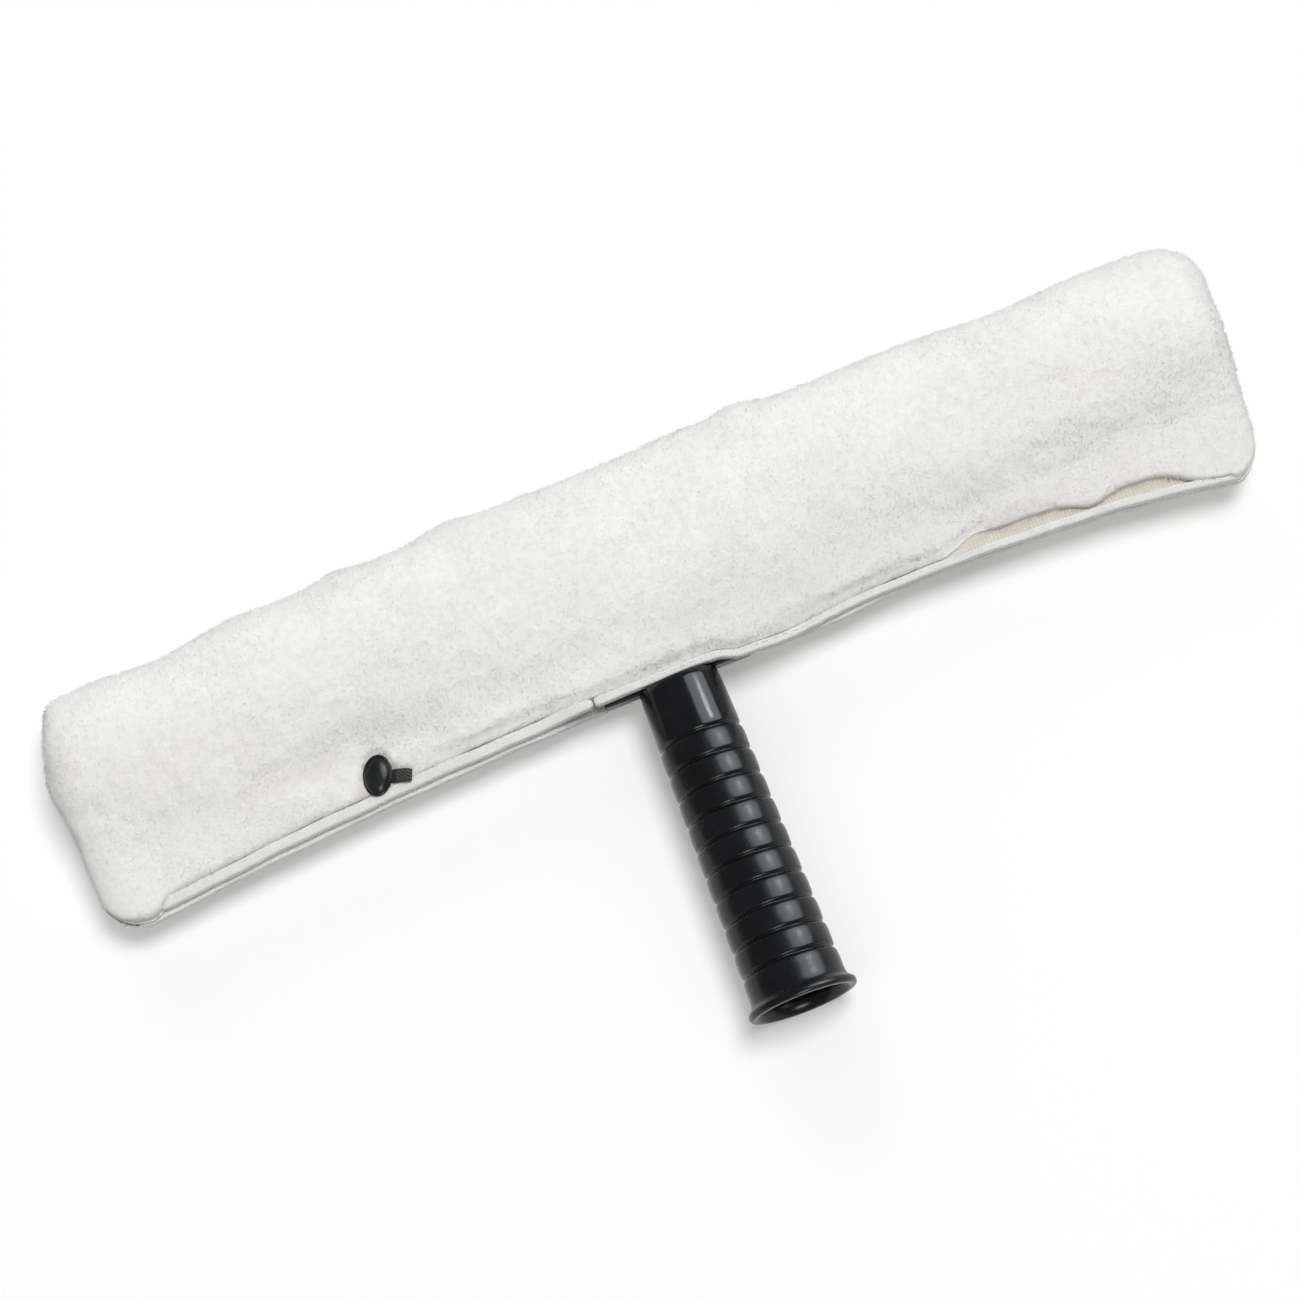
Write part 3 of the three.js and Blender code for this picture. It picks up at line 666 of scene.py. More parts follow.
def sweep(path, section_at):
    """Points and faces of closed sections along X. section_at gives (y, z) points."""
    rings = [np.array([(x, y, z) for y, z in section_at(x)]) for x in path]
    return np.concatenate(rings), tube_faces(len(rings), len(rings[0]))


def soft_ring(count, half_y, half_z, powers):
    """Points round a rectangle with soft corners; a smaller power makes a side flatter."""
    ring = []
    for k in range(count):
        a = 2 * math.pi * k / count
        y = math.copysign(abs(math.cos(a)) ** powers[0], math.cos(a)) * half_y
        z = math.copysign(abs(math.sin(a)) ** powers[1], math.sin(a)) * half_z
        ring.append((y, z))
    return ring


def facing_out(piece):
    """Turns the faces of a closed piece outwards if they face in."""
    mesh = piece.data
    mesh.calc_loop_triangles()
    points = np.array([v.co for v in mesh.vertices])
    a, b, c = (points[[t.vertices[k] for t in mesh.loop_triangles]] for k in range(3))
    if np.einsum("ij,ij->i", a, np.cross(b, c)).sum() < 0:
        mesh.flip_normals()
    return piece


# Materials

# Places of the colour mix node's sockets
MIX_A, MIX_B, MIX_RESULT = 6, 7, 2


def new_material(name):
    made = bpy.data.materials.new(name)
    made.use_nodes = True
    return made, made.node_tree, made.node_tree.nodes["Principled BSDF"]


def set_inputs(tree, node, inputs):
    """Sets a node's inputs, and links those that come from another node."""
    for key, value in inputs.items():
        if isinstance(value, bpy.types.NodeSocket):
            tree.links.new(value, node.inputs[key])
        else:
            node.inputs[key].default_value = value


def add_node(tree, kind, inputs=None, **settings):
    node = tree.nodes.new(kind)
    for key, value in settings.items():
        setattr(node, key, value)
    set_inputs(tree, node, inputs or {})
    return node


def math_node(tree, operation, a, b):
    return add_node(tree, "ShaderNodeMath", {0: a, 1: b}, operation=operation).outputs[0]


def attribute_node(tree, name):
    return add_node(tree, "ShaderNodeAttribute", attribute_name=name).outputs["Fac"]


def place_mm(tree, stretch=(1, 1, 1)):
    """Object coordinates in millimetres."""
    where = add_node(tree, "ShaderNodeTexCoord").outputs["Object"]
    scale = [s / MM for s in stretch]
    return add_node(tree, "ShaderNodeMapping", {"Vector": where, "Scale": scale}).outputs["Vector"]


def noise_node(tree, where, size, detail=2.0, roughness=0.5):
    inputs = {"Vector": where, "Scale": 1 / size, "Detail": detail, "Roughness": roughness}
    return add_node(tree, "ShaderNodeTexNoise", inputs).outputs["Fac"]


def wave_node(tree, where, scale, distortion, direction):
    inputs = {"Vector": where, "Scale": scale, "Distortion": distortion}
    made = add_node(tree, "ShaderNodeTexWave", inputs, wave_type="BANDS", bands_direction=direction)
    return made.outputs["Fac"]


def ramp(tree, value, low, high):
    inputs = {"Value": value, "From Min": low, "From Max": high}
    return add_node(tree, "ShaderNodeMapRange", inputs, interpolation_type="SMOOTHSTEP").outputs["Result"]


def mixed(tree, share, a, b, blend="MIX"):
    """Two colours mixed; each is another node's output or a plain value."""
    a, b = (v if isinstance(v, bpy.types.NodeSocket) else (*v, 1) for v in (a, b))
    inputs = {0: share, MIX_A: a, MIX_B: b}
    node = add_node(tree, "ShaderNodeMix", inputs, data_type="RGBA", blend_type=blend)
    return node.outputs[MIX_RESULT]


def bump(tree, height, strength, distance, after=None):
    inputs = {"Height": height, "Strength": strength, "Distance": distance * MM}
    if after:
        inputs["Normal"] = after
    return add_node(tree, "ShaderNodeBump", inputs).outputs["Normal"]


FLEECE_LIGHT, FLEECE_DEEP = (0.93, 0.928, 0.92), (0.885, 0.881, 0.868)
# The second zone colour is painted shade, a little warm: the front is drawn darker where it slopes down to
# its right hem.
GREY_ZONE, PAINTED_SHADE_TONE = (0.965, 0.963, 0.958), (0.925, 0.922, 0.912)
CREAM_LIGHT, CREAM_DEEP = (0.77, 0.735, 0.66), (0.68, 0.645, 0.57)
WHITE_KNIT = (0.86, 0.85, 0.825)
TAPE_LIGHT, TAPE_DEEP = (0.87, 0.867, 0.855), (0.8, 0.795, 0.78)
BLACK_DEEP, BLACK_LIGHT = (0.004, 0.0044, 0.0052), (0.007, 0.0075, 0.0085)
STUD_DEEP, STUD_LIGHT = (0.009, 0.0095, 0.01), (0.02, 0.021, 0.022)
WEBBING_DEEP, WEBBING_LIGHT = (0.012, 0.012, 0.011), (0.06, 0.06, 0.05)
STEEL_DEEP, STEEL_LIGHT = (0.42, 0.43, 0.44), (0.62, 0.63, 0.64)
WHITE = (1, 1, 1)
GRIP_DULLNESS, GRIP_FADE = 0.1, 1.5
ZONE_BREADTH = 21
PAINTED_SHADE_HEIGHTS, PAINTED_SHADE_PLACES = (46, 28), (-50, 40)  # where the painted shade starts and is full


def grey_zones_and_painted_shade(tree, where):
    """Grey zones that vary softly over the head, and a painted shade, a little warm, strongest along its
    right hem.
    """
    place = add_node(tree, "ShaderNodeSeparateXYZ", {"Vector": where})
    broad = noise_node(tree, where, ZONE_BREADTH, 2)
    tone = mixed(tree, ramp(tree, broad, 0.3, 0.7), GREY_ZONE, WHITE)
    # Painted shade: darker and a little warm towards the lower right, where the front slopes down to the
    # hem.
    down = ramp(tree, place.outputs["Y"], *PAINTED_SHADE_HEIGHTS)
    right = ramp(tree, place.outputs["X"], *PAINTED_SHADE_PLACES)
    return mixed(tree, math_node(tree, "MULTIPLY", down, right), tone, PAINTED_SHADE_TONE)


def fleece_material(name, fibres):
    """The pile: alone for its fibres, else with the knit backing where the pile ends."""
    made, tree, shader = new_material(name)
    where = place_mm(tree)
    fine = noise_node(tree, where, 2.1, 3, 0.6)
    tone = mixed(tree, ramp(tree, fine, 0.34, 0.6), FLEECE_DEEP, FLEECE_LIGHT)
    colour = mixed(tree, 1, tone, grey_zones_and_painted_shade(tree, where), "MULTIPLY")
    if not fibres:
        cream = attribute_node(tree, "cream")
        pile = attribute_node(tree, "pile")
        tinted = mixed(tree, cream, colour, mixed(tree, fine, CREAM_DEEP, CREAM_LIGHT))
        backing = mixed(tree, cream, WHITE_KNIT, mixed(tree, fine, CREAM_DEEP, CREAM_LIGHT))
        colour = mixed(tree, ramp(tree, pile, 0.05, 0.55), backing, tinted)
        curls = noise_node(tree, where, 0.8, 3, 0.65)
        clumps = add_node(tree, "ShaderNodeTexVoronoi", {"Vector": where, "Scale": 1 / 1.7})
        normal = bump(tree, clumps.outputs["Distance"], 0.3, 0.35)
        set_inputs(tree, shader, {"Normal": bump(tree, curls, 0.4, 0.3, normal)})
    set_inputs(tree, shader, {
        "Base Color": colour, "Roughness": 0.95, "Specular IOR Level": 0.2,
        "Sheen Weight": 0.2, "Sheen Roughness": 0.6,
    })
    return made


def woven_material(name, ribs, loops, blotch, rib_edge, tones, bumps, backing=None):
    """Cloth of ribs and loops that cross.

    Ribs and loops are given as scale and distortion, their bumps as strength and depth.
    A backing has a colour of its own where it isn't cream.
    """
    made, tree, shader = new_material(name)
    where = place_mm(tree)
    rib = wave_node(tree, where, *ribs, "X")
    loop = wave_node(tree, where, *loops, "Y")
    tone = mixed(tree, ramp(tree, noise_node(tree, where, blotch, 3), 0.3, 0.7), *tones)
    colour = mixed(tree, ramp(tree, rib, 0.0, rib_edge), tones[0], tone)
    if backing:
        colour = mixed(tree, attribute_node(tree, "cream"), backing, colour)
        set_inputs(tree, shader, {"Specular IOR Level": 0.2})
    normal = bump(tree, rib, *bumps[0], bump(tree, loop, *bumps[1]))
    set_inputs(tree, shader, {
        "Base Color": colour, "Normal": normal, "Roughness": 0.92 if backing else 0.85,
        "Sheen Weight": 0.1,
    })
    return made


def plastic_material(name, dark, light, smooth, dull):
    """Moulded black plastic with faint clouding, scuffs and an uneven gloss."""
    made, tree, shader = new_material(name)
    where = place_mm(tree)
    cloud = noise_node(tree, where, 9, 3)
    scuffs = noise_node(tree, place_mm(tree, (1, 0.12, 1)), 0.7, 4, 0.7)
    ripple = noise_node(tree, where, 4.5, 2)
    inputs = {"Value": scuffs, "From Min": 0.35, "From Max": 0.75, "To Min": smooth, "To Max": dull}
    set_inputs(tree, shader, {
        "Base Color": mixed(tree, ramp(tree, cloud, 0.35, 0.7), dark, light),
        "Roughness": add_node(tree, "ShaderNodeMapRange", inputs).outputs["Result"],
        "Normal": bump(tree, scuffs, 0.06, 0.08, bump(tree, ripple, 0.12, 0.35)),
        "Specular IOR Level": 0.3,
    })
    return made


def worn_grip(made, collar_end):
    """Makes the grip duller than the collar, which nobody holds."""
    tree = made.node_tree
    shader = tree.nodes["Principled BSDF"]
    gloss = shader.inputs["Roughness"].links[0].from_socket
    y = add_node(tree, "ShaderNodeSeparateXYZ", {"Vector": place_mm(tree)}).outputs["Y"]
    grip = ramp(tree, y, collar_end + GRIP_FADE, collar_end - GRIP_FADE)
    extra = math_node(tree, "MULTIPLY", grip, GRIP_DULLNESS)
    tree.links.new(math_node(tree, "ADD", gloss, extra), shader.inputs["Roughness"])


def webbing_material():
    made, tree, shader = new_material("tab_webbing")
    twill = wave_node(tree, place_mm(tree), 0.5, 0.3, "DIAGONAL")
    colour = mixed(tree, twill, WEBBING_DEEP, WEBBING_LIGHT)
    normal = bump(tree, twill, 0.7, 0.2)
    set_inputs(tree, shader, {"Base Color": colour, "Normal": normal, "Roughness": 0.8})
    return made


def steel_material():
    made, tree, shader = new_material("zinc_steel")
    grain = noise_node(tree, place_mm(tree, (1, 0.2, 1)), 0.5, 4, 0.7)
    colour = mixed(tree, grain, STEEL_DEEP, STEEL_LIGHT)
    normal = bump(tree, grain, 0.1, 0.1)
    set_inputs(tree, shader, {"Base Color": colour, "Normal": normal, "Metallic": 1, "Roughness": 0.35})
    return made


FLEECE = fleece_material("fleece_pile", False)
FIBRES = fleece_material("fleece_fibres", True)
KNIT = woven_material("knit_backing", ribs=(0.28, 1.2), loops=(0.34, 2.0), blotch=3.5, rib_edge=0.5,
                      tones=(CREAM_DEEP, CREAM_LIGHT), bumps=((0.4, 0.25), (0.4, 0.2)),
                      backing=WHITE_KNIT)
TAPE = woven_material("woven_tape", ribs=(0.42, 0.4), loops=(0.55, 0.4), blotch=5, rib_edge=0.4,
                      tones=(TAPE_DEEP, TAPE_LIGHT), bumps=((0.5, 0.18), (0.4, 0.15)))
BLACK = plastic_material("gloss_black_plastic", BLACK_DEEP, BLACK_LIGHT, 0.2, 0.34)
HANDLE = plastic_material("gloss_black_handle", BLACK_DEEP, BLACK_LIGHT, 0.13, 0.22)
worn_grip(HANDLE, HANDLE_TOP - COLLAR + ORIGIN[1] / MM)
STUD = plastic_material("stud_plastic", STUD_DEEP, STUD_LIGHT, 0.24, 0.4)
WEBBING = webbing_material()
STEEL = steel_material()


# Sleeve

def chosen_cells(steps, sides, x):
    """Which cells belong to each panel and flap."""
    middle = (x[1:] + x[:-1]) / 2
    t = (steps[1:] + steps[:-1]) / 2
    front = np.arange(len(t)) < np.count_nonzero(sides > 0) - 1
    below_fold = t > flap_step()
    spans = {
        "front_flap": (front & below_fold, (middle > LEFT + FLAP_END_MARGIN) & (middle < -FLAP_INSET)),
        "back_flap": (~front & below_fold, (middle > FLAP_INSET) & (middle < RIGHT - FLAP_END_MARGIN)),
    }
    cells = {name: rows[:, None] & cols[None, :] for name, (rows, cols) in spans.items()}
    cells["sleeve_front"] = front[:, None] & ~cells["front_flap"]
    cells["sleeve_back"] = ~front[:, None] & ~cells["back_flap"]
    return cells


def flap_step():
    """The step of the section at which a flap's own cloth starts."""
    t = np.linspace(CREST_END, PILE_END - 1, FLAP_STEPS)
    y = along(section(np.array([MIDDLE_STATION]), 1), t)[:, 0, 0]
    return float(np.interp(-FLAP_TOP, -y, t))


FLAP_BODIES = {"front_flap": "front_closure", "back_flap": "back_closure"}


def settle(piece, node):
    """Puts a panel on the washer, and bakes a flap's place into its mesh."""
    if node not in FLAP_BODIES:
        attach(piece, "washer")
        return
    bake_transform(piece)


FIBRE_FLOOR = -15.9  # no fibres stand where the pile is pressed flat on the table
FIBRE_COUNTS = {"sleeve_front": 45000, "sleeve_back": 45000, "front_flap": 9000, "back_flap": 9000}
FIBRE_SEED = 11
FIBRE_LENGTHS, FIBRE_WIDTHS, FIBRE_DEPTH = (0.7, 1.5), (0.11, 0.18), 0.5
SWIRL, SWIRL_BREADTH, SCATTER, LEAN = 1.1, 9, 0.55, 0.9
FIBRE_WAY = (0.1, -0.35, 0)
THIRD_TURNS = (0, 2.094, 4.189)
OFF_AXIS = (0.01, 0.02, 0.03)  # keeps a fibre that stands straight up from having no side


def fibre_roots(skin, cells, pile, count, rng):
    """Random places in the pile, even over its area, and the way out of it at each."""
    rows, cols = np.nonzero(cells)
    a, b, d = skin[rows, cols], skin[rows, cols + 1], skin[rows + 1, cols]
    area = np.linalg.norm(np.cross(b - a, d - a), axis=1)
    area *= np.minimum(pile[rows, cols], pile[rows + 1, cols + 1]) > 0.5
    picked = rng.choice(len(rows), count, p=area / area.sum())
    r, c = rows[picked], cols[picked]
    u, v = rng.random((2, count, 1))
    root = (skin[r, c] * (1 - u) * (1 - v) + skin[r, c + 1] * u * (1 - v)
            + skin[r + 1, c] * (1 - u) * v + skin[r + 1, c + 1] * u * v)
    return root, outward(skin)[r, c]


def fibres(name, skin, cells, pile, count, seed):
    """Short fibres standing in the pile, leaning down the head with some swirl."""
    rng = np.random.default_rng(seed)
    root, up = fibre_roots(skin, cells, pile, count, rng)
    swirl = np.stack([noise(root, SWIRL_BREADTH, seed + k) for k in range(3)], -1)
    lean = swirl * SWIRL + rng.normal(0, SCATTER, (count, 3)) + np.array(FIBRE_WAY)
    lean -= up * np.einsum("ij,ij->i", lean, up)[:, None]
    length = rng.uniform(*FIBRE_LENGTHS, (count, 1))
    width = rng.uniform(*FIBRE_WIDTHS, (count, 1))
    tip_way = up + lean * LEAN
    tip_way /= np.linalg.norm(tip_way, axis=1, keepdims=True)
    side = np.cross(up, tip_way + np.array(OFF_AXIS))
    side /= np.linalg.norm(side, axis=1, keepdims=True)
    other = np.cross(tip_way, side)
    foot = root - up * FIBRE_DEPTH
    corners = [foot + (side * math.cos(k) + other * math.sin(k)) * width for k in THIRD_TURNS]
    points = np.stack([*corners, root + tip_way * length], 1)
    points = points[root[:, 2] > FIBRE_FLOOR]
    points[..., 2] = np.maximum(points[..., 2], -ORIGIN[2] / MM)
    base = np.arange(len(points))[:, None] * 4
    pattern = np.array([[0, 2, 1], [0, 1, 3], [1, 2, 3], [2, 0, 3]])
    faces = (base[:, :, None] + pattern[None]).reshape(-1, 3)
    return facing_out(mesh_object(name, points.reshape(-1, 3), faces.tolist(), [FIBRES]))


def make_sleeve():
    skin, steps, sides, x = wrap(CELL)
    skin = skin + simulated_shift(steps, sides, x)
    outer, pile, cream = furred(skin, steps)
    outer[..., 2] = np.maximum(outer[..., 2], -ORIGIN[2] / MM)
    inner = lining(skin, steps, sides)
    t = (steps[1:] + steps[:-1]) / 2
    bare = np.repeat((t > BARE_STEP)[:, None], len(x) - 1, 1)
    for number, (node, cells) in enumerate(chosen_cells(steps, sides, x).items()):
        piece = shell(f"{node}_cloth", outer, inner, cells, bare, pile, cream)
        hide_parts(node)
        settle(piece, node)
        fuzz = fibres(f"{node}_fibres", outer, cells, pile, FIBRE_COUNTS[node], FIBRE_SEED + number)
        settle(fuzz, node)


BINDING_LEAD = 6  # how far the front flap's binding starts before the pile makes way for it
HEMS = {
    "front_flap_hem": (1, LEFT + FRONT_BINDING_END - BINDING_LEAD, -FLAP_INSET, "front_closure"),
    "sleeve_front_hem": (1, -FLAP_INSET + GAP, RIGHT - RIGHT_BINDING_END, "washer"),
    "sleeve_back_hem": (-1, LEFT + LEFT_BINDING_END, FLAP_INSET - GAP, "washer"),
    "back_flap_hem": (-1, FLAP_INSET, RIGHT - FLAP_END_MARGIN, "back_closure"),
}
THINNEST_BINDING = 0.35
BINDING_STATIONS, BINDING_STEP, BINDING_MIDDLE = np.array([0, 0.3, 0.8, 1.5, 2.5]), 1.5, 4
DRIFTS = ((0.12, 7.3), (0.08, 3.1))
BINDING_SIDES, BINDING_POWERS = 18, (0.4, 0.5)
BINDING_END, BINDING_END_SIZE = 2.5, 0.35  # how far each end tapers, and to what share
STITCH_PITCH, STITCH_LENGTH, STITCH_RADIUS, STITCH_SIDES = 3.2, 2.3, 0.2, 6
STITCH_START, STITCH_STOP = 2, 3
STITCH_HEIGHT = 0.62  # as a share of the binding's height
STITCH_ARCH, STITCH_SINK = 0.1, 0.12
STITCH_RINGS = ((0, 0.35), (0.2, 1), (0.8, 1), (1, 0.35))  # place along it and swell


def binding_place(x, side):
    """A binding's lower edge, height and thickness at x, and how far from the mid-plane
    its inner face is."""
    here = np.array(x)
    thick = BINDING_THICKNESS * max(float(end_thickness(here)), THINNEST_BINDING)
    base = GAP / 2 + NECK_HALF * float(near_neck(here))
    return float(hem_line(here, side)), float(binding_height(here, side)), thick, base


def hem_section(side, wave, x_from, x_to):
    """A binding folded round its layer's edge: a soft rounded strip."""
    def at(x):
        low, high, thick, base = binding_place(x, side)
        end = max(min((x - x_from) / BINDING_END, (x_to - x) / BINDING_END, 1), 0)
        size = BINDING_END_SIZE + (1 - BINDING_END_SIZE) * math.sqrt(1 - (1 - end) ** 2)
        (slow, slow_length), (quick, quick_length) = DRIFTS
        drift = slow * math.sin(x / slow_length + wave) + quick * math.sin(x / quick_length)
        ring = soft_ring(BINDING_SIDES, high / 2 * size, thick / 2 * size, BINDING_POWERS)
        return [(low + high / 2 + y + drift, side * (base + thick / 2 + z)) for y, z in ring]
    return at


def stitch(x, side):
    """The points of one short raised thread, ring by ring."""
    low, high, thick, base = binding_place(x, side)
    y, z = low + STITCH_HEIGHT * high, base + thick
    points = []
    for share, swell in STITCH_RINGS:
        radius = STITCH_RADIUS * swell
        lift = STITCH_ARCH * math.sin(share * math.pi) - STITCH_SINK
        for a in np.arange(STITCH_SIDES) / STITCH_SIDES * 2 * math.pi:
            place = (x + share * STITCH_LENGTH, y + radius * math.cos(a))
            points.append((*place, side * (z + lift + radius * math.sin(a))))
    return points


def stitches(name, side, x_from, x_to):
    """Short raised threads in a row along the middle of a binding's outer face."""
    points, faces = [], []
    for x in np.arange(x_from + STITCH_START, x_to - STITCH_STOP, STITCH_PITCH):
        faces += tube_faces(len(STITCH_RINGS), STITCH_SIDES, len(points))
        points += stitch(x, side)
    return facing_out(mesh_object(name, points, faces, [TAPE]))


def make_hems():
    for number, (node, (side, x_from, x_to, body)) in enumerate(HEMS.items()):
        count = int((x_to - x_from) / BINDING_STEP)
        middle = np.linspace(x_from + BINDING_MIDDLE, x_to - BINDING_MIDDLE, count)
        path = np.concatenate([x_from + BINDING_STATIONS, middle, x_to - BINDING_STATIONS[::-1]])
        points, faces = sweep(path, hem_section(side, number, x_from, x_to))
        tape = facing_out(mesh_object(f"{node}_tape", points, faces, [TAPE]))
        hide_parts(node)
        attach(tape, body)
        thread = stitches(f"{node}_stitches", side, x_from, x_to)
        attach(thread, body)


# Studs

def placed(points, side):
    """Points given as seen from a stud, put where that stud is."""
    over = Matrix.Rotation(0 if side > 0 else math.pi, 4, "Y")
    matrix = over @ Matrix.Translation((STUD_X, stud_y(side), 0)) @ Matrix.Rotation(STUD_TURN, 4, "Z")
    return [tuple(matrix @ Vector(p)) for p in points]


# Profiles of (radius, height above the mid-plane, rounding). The cap's radii are shares of its
# half width and half length, and its head's heights start at its seat on the cloth.
CAP_SEAT = 3.9
CAP_HEAD = [
    (0.27, 0, 0), (0.9, 0, 0.1), (1.0, 0.35, 0.3), (1.0, 0.8, 0.3), (0.93, 1.15, 0.2), (0.86, 1.15, 0.15),
    (0.82, 1.0, 0.15), (0.76, 1.35, 0.3), (0.62, 1.95, 0.4), (0.4, 2.38, 0.5), (0.2, 2.55, 0.3), (0, 2.6, 0),
]
CAP_PROFILE = [(0, 2.6, 0), (0.27, 2.6, 0)]
CAP_PROFILE += [(share, CAP_SEAT + up, rounding) for share, up, rounding in CAP_HEAD]
SOCKET_PROFILE = [
    (0, 1.75, 0), (2.1, 1.75, 0.2), (2.25, 0.45, 0.2), (2.5, 0.3, 0.15), (4.0, 0.3, 0.3),
    (4.2, 0.6, 0.2), (4.2, 2.0, 0.3), (3.9, 2.3, 0.2), (0, 2.3, 0),
]
KNOB_PROFILE = [
    (0, -1.3, 0), (4.0, -1.3, 0.2), (4.2, -1.0, 0.2), (4.2, -0.5, 0.2), (3.9, -0.3, 0.2),
    (1.9, -0.3, 0.15), (1.6, 0.05, 0.15), (1.8, 0.5, 0.25), (1.5, 0.85, 0.25), (0, 0.9, 0),
]
POST_PROFILE = [
    (0, -3.6, 0), (0.9, -3.45, 0.3), (1.2, -3.2, 0.2), (1.6, -3.55, 0.3), (4.0, -3.6, 0.3),
    (4.4, -3.3, 0.25), (4.4, -2.7, 0.25), (4.1, -2.4, 0.2), (1.2, -2.4, 0.2), (1.2, -1.6, 0),
    (0, -1.6, 0),
]
CAP_SEGMENTS, STUD_SEGMENTS = 64, 48
TAB_INNER, TAB_LENGTHS, TAB_SIDES, TAB_POWERS = 1.5, 26, 16, (0.5, 0.8)
TAB_HEIGHT = 3.1  # of its middle, above the mid-plane, where it comes out from under the cap
# How much the tab rises, narrows and thickens, and from and to which share of its length
TAB_RISES = [(1.25, 0.31, 0.5), (0.9, 0.45, 0.9)]
TAB_NARROWING, TAB_THICKENING = (0.12, 0.8, 1.0), (0.16, 0.6, 0.95)
TAB_THICKNESS = 0.42


def make_round(name, profile, side):
    """A round or oval piece of a stud, turned round the stud's axis."""
    cap = profile is CAP_PROFILE
    points, faces = lathe(rounded(profile), CAP_SEGMENTS if cap else STUD_SEGMENTS)
    points[:, :2] *= (CAP_HALF_WIDTH, CAP_HALF_LENGTH) if cap else (1, 1)
    return facing_out(mesh_object(name, placed(points, side), faces, [STUD]))


def tab_section(x):
    share = (x - TAB_INNER) / (TAB_OUTER - TAB_INNER)

    def change(amount, start, end):
        return amount * smoothstep(start, end, share)

    rise = sum(change(*one) for one in TAB_RISES)
    width = TAB_HALF * (1 - change(*TAB_NARROWING))
    thick = TAB_THICKNESS + change(*TAB_THICKENING)
    return [(y, TAB_HEIGHT + rise + z) for y, z in soft_ring(TAB_SIDES, width, thick, TAB_POWERS)]


def make_tab(name, side):
    """A short loop of webbing, folded at its outer end, that comes out from under the cap."""
    points, faces = sweep(np.linspace(TAB_INNER, TAB_OUTER, TAB_LENGTHS), tab_section)
    return facing_out(mesh_object(name, placed(points, side), faces, [WEBBING]))


def make_studs():
    for word, side in (("front", 1), ("back", -1)):
        flap = f"{word}_closure"
        for part, profile, body, slot in (
            ("stud_cap", CAP_PROFILE, flap, "stud_plastic"),
            ("stud_socket", SOCKET_PROFILE, flap, "stud_plastic"),
            ("stud_knob", KNOB_PROFILE, "washer", "stud_plastic"),
            ("stud_post", POST_PROFILE, "washer", "stud_plastic"),
            ("pull_tab", None, flap, "tab_webbing"),
        ):
            node = f"{word}_{part}"
            name = f"{node}_smooth"
            piece = make_round(name, profile, side) if profile else make_tab(name, side)
            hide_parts(node)
            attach(piece, body)


# Handle

def handle_radius(y):
    return TOP_RADIUS + (END_RADIUS - TOP_RADIUS) * (HANDLE_TOP - y) / HANDLE_LENGTH


# Each groove's corners: steps from the tube's radius and from its middle, and rounding
GROOVE_CORNERS = [
    (0.12, 2.6, 1.2), (0, 0.85, 0.45), (-GROOVE_DEPTH, 0.18, 0.3),
    (-GROOVE_DEPTH, -0.18, 0.3), (0.05, -0.85, 0.45), (0.3, -2.6, 1.2),
]
LIP_HEIGHT = 2.3
HANDLE_SEGMENTS, CORNER_STEPS = 160, 5
# The bore: its floor, the web that the screw goes through and the spigot's socket
BORE_FLOOR, WEB_TOP = HANDLE_TOP - 23.3, HANDLE_TOP - 19.3
BORE_FLOOR_RADIUS, SCREW_RADIUS, SPIGOT_RADIUS = 10.6, 2.7, 8.9


def lip_corners():
    lip = HANDLE_END + LIP_HEIGHT
    r = handle_radius(lip + 3)
    return [
        (r + 0.1, lip + 3.2, 1.5), (r + 0.6, lip + 1.0, 0.8), (LIP_RADIUS - 0.35, lip, 0.8),
        (LIP_RADIUS, lip - 0.7, 0.5), (LIP_RADIUS, HANDLE_END + 0.7, 0.5),
        (LIP_RADIUS - 0.6, HANDLE_END, 0.6), (14.6, HANDLE_END, 0.5),
        (13.1, HANDLE_END + 1.7, 0.8), (12.6, HANDLE_END + 3.4, 1.5),
    ]


def make_handle():
    """The tube with its grooves, flared lip and bore, turned round the handle's axis."""
    corners = [(TOP_RADIUS - 0.1, HANDLE_TOP, 0.7), (TOP_RADIUS + 0.15, HANDLE_TOP - 4, 3)]
    for i in range(GROOVES):
        middle = HANDLE_TOP - COLLAR - i * PITCH
        r = handle_radius(middle)
        corners += [(r + out, middle + up, rounding) for out, up, rounding in GROOVE_CORNERS]
    corners += lip_corners() + [
        (BORE_FLOOR_RADIUS, BORE_FLOOR, 0.6), (SCREW_RADIUS, BORE_FLOOR, 0.2),
        (SCREW_RADIUS, WEB_TOP, 0.2), (SPIGOT_RADIUS, WEB_TOP, 0.3), (SPIGOT_RADIUS, HANDLE_TOP, 0.4),
    ]
    line = rounded(corners + [corners[0][:2] + (0,)], CORNER_STEPS)
    points, faces = lathe(line[:-1], HANDLE_SEGMENTS, closed=True)
    turned = np.stack([points[:, 0], points[:, 2], points[:, 1]], -1)
    handle = facing_out(mesh_object("handle_smooth", turned, faces, [HANDLE]))
    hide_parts("handle")
    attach(handle, "washer")


def repaint(node, material):
    """A CAD node that stays as it is, in its own material."""
    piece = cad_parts[node]
    piece.data.materials.clear()
    piece.data.materials.append(material)


# Surroundings

CAMERA_ELEVATION = math.radians(75)
CAMERA_ROLL = math.radians(21.4)
PHOTO_WIDTH = 391.2
PHOTO_MIDDLE = (-4.35, -30.2, 0)
LENS, SENSOR = 110, 36
CLIP = (0.05, 20)
FLOOR_HALF = 6.0
FLOOR_WHITE, FLOOR_LIGHT, FLOOR_GLOW = (0.8, 0.8, 0.8, 1), (1, 1, 0.985, 1), 0.25
LAMP_DISTANCE = 4
WORLD_STRENGTH = 0.22
COOL_WHITE = (0.86, 0.94, 1)
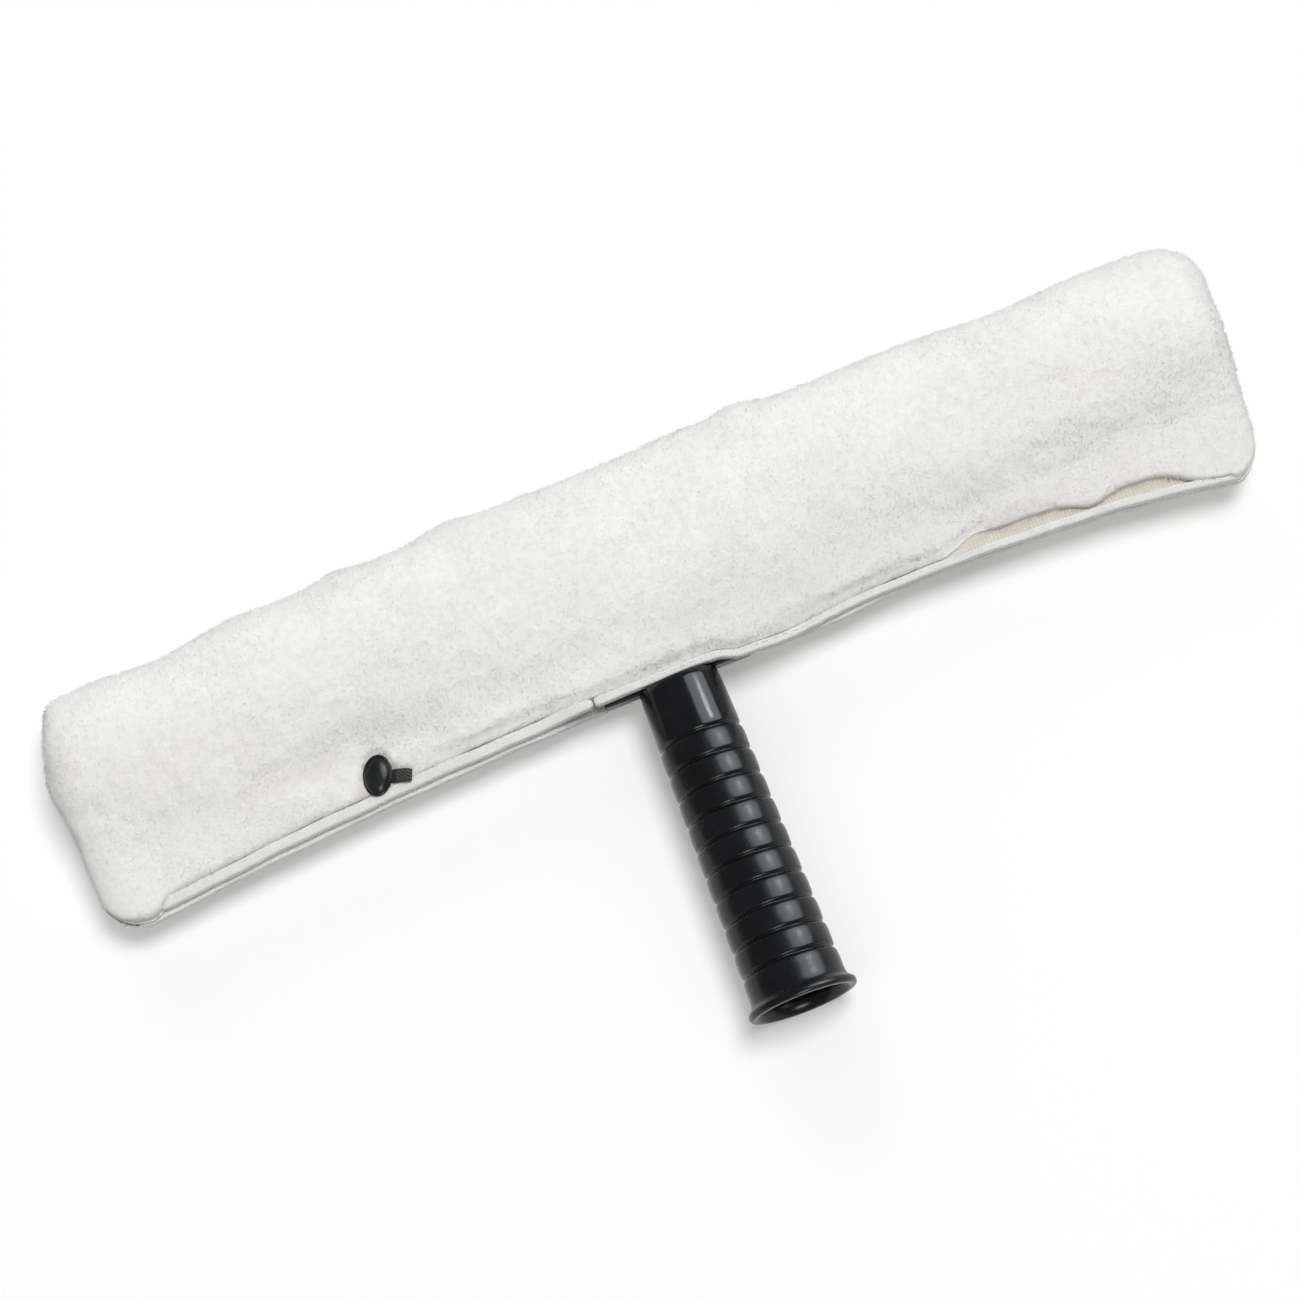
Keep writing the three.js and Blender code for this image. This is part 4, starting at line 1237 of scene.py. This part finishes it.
# Direction, size, power and colour, and whether a lamp lights the object or only shows in
# its reflections
LAMPS = {
    "key": ((0.38, 0.12, 1.5), 1.6, 103, WHITE, True),
    "fill": ((-0.6, -0.5, 1.3), 3, 12, WHITE, True),
    "crest": ((0, 1.3, 0.6), 3, 26, WHITE, True),
    "side_box": ((0.74, 0.26, 0.66), 4.2, 230, COOL_WHITE, False),
    "gleam": ((0.74, 0.26, 0.63), 0.7, 22, WHITE, False),
    "lip_card": ((0.15, -1.0, 0.8), 1.4, 60, WHITE, False),
}


def make_camera():
    data = bpy.data.cameras.new("camera")
    data.lens, data.sensor_width = LENS, SENSOR
    camera = bpy.data.objects.new("camera", data)
    bpy.context.scene.collection.objects.link(camera)
    up = Vector((0, math.sin(CAMERA_ELEVATION), math.cos(CAMERA_ELEVATION)))
    back = Vector((0, -math.cos(CAMERA_ELEVATION), math.sin(CAMERA_ELEVATION)))
    level = Vector((1, 0, 0))
    right = level * math.cos(CAMERA_ROLL) - up * math.sin(CAMERA_ROLL)
    upright = level * math.sin(CAMERA_ROLL) + up * math.cos(CAMERA_ROLL)
    distance = PHOTO_WIDTH * MM * LENS / SENSOR
    target = Vector(np.array(PHOTO_MIDDLE) * MM + ORIGIN)
    turned = Matrix((right, upright, back)).transposed().to_4x4()
    camera.matrix_world = Matrix.Translation(target + back * distance) @ turned
    data.clip_start, data.clip_end = CLIP
    bpy.context.scene.camera = camera


def area_light(name, direction, size, power, colour, lights):
    data = bpy.data.lights.new(name, "AREA")
    data.shape, data.size, data.energy, data.color = "DISK", size, power, colour
    lamp = bpy.data.objects.new(name, data)
    way = Vector(direction).normalized()
    lamp.location = way * LAMP_DISTANCE
    lamp.rotation_mode = "QUATERNION"
    lamp.rotation_quaternion = way.to_track_quat("Z", "Y")
    lamp.visible_diffuse, lamp.visible_glossy = lights, not lights
    bpy.context.scene.collection.objects.link(lamp)


def make_floor():
    """A pale floor that keeps the object's shadow and glows only where it is looked at."""
    mesh = bpy.data.meshes.new("floor")
    corners = [(x * FLOOR_HALF, y * FLOOR_HALF, 0) for x, y in ((-1, -1), (1, -1), (1, 1), (-1, 1))]
    mesh.from_pydata(corners, [], [(0, 1, 2, 3)])
    floor = bpy.data.objects.new("floor", mesh)
    bpy.context.scene.collection.objects.link(floor)
    made, tree, shader = new_material("floor_white")
    path = add_node(tree, "ShaderNodeLightPath").outputs
    seen = math_node(tree, "MAXIMUM", path["Is Camera Ray"], path["Is Glossy Ray"])
    through = math_node(tree, "MAXIMUM", seen, path["Is Transmission Ray"])
    set_inputs(tree, shader, {
        "Base Color": FLOOR_WHITE, "Roughness": 0.9, "Specular IOR Level": 0,
        "Emission Color": FLOOR_LIGHT,
        "Emission Strength": math_node(tree, "MULTIPLY", through, FLOOR_GLOW),
    })
    mesh.materials.append(made)


def make_light():
    world = bpy.data.worlds.new("studio")
    bpy.context.scene.world = world
    world.use_nodes = True
    background = world.node_tree.nodes["Background"]
    set_inputs(world.node_tree, background, {"Color": (*WHITE, 1), "Strength": WORLD_STRENGTH})
    for name, settings in LAMPS.items():
        area_light(name, *settings)


make_sleeve()
make_hems()
make_studs()
make_handle()
repaint("crossbar", BLACK)
repaint("handle_screw", STEEL)
repaint("screw_washer", STEEL)
make_camera()
make_floor()
make_light()
bpy.context.scene.view_settings.view_transform = "Standard"
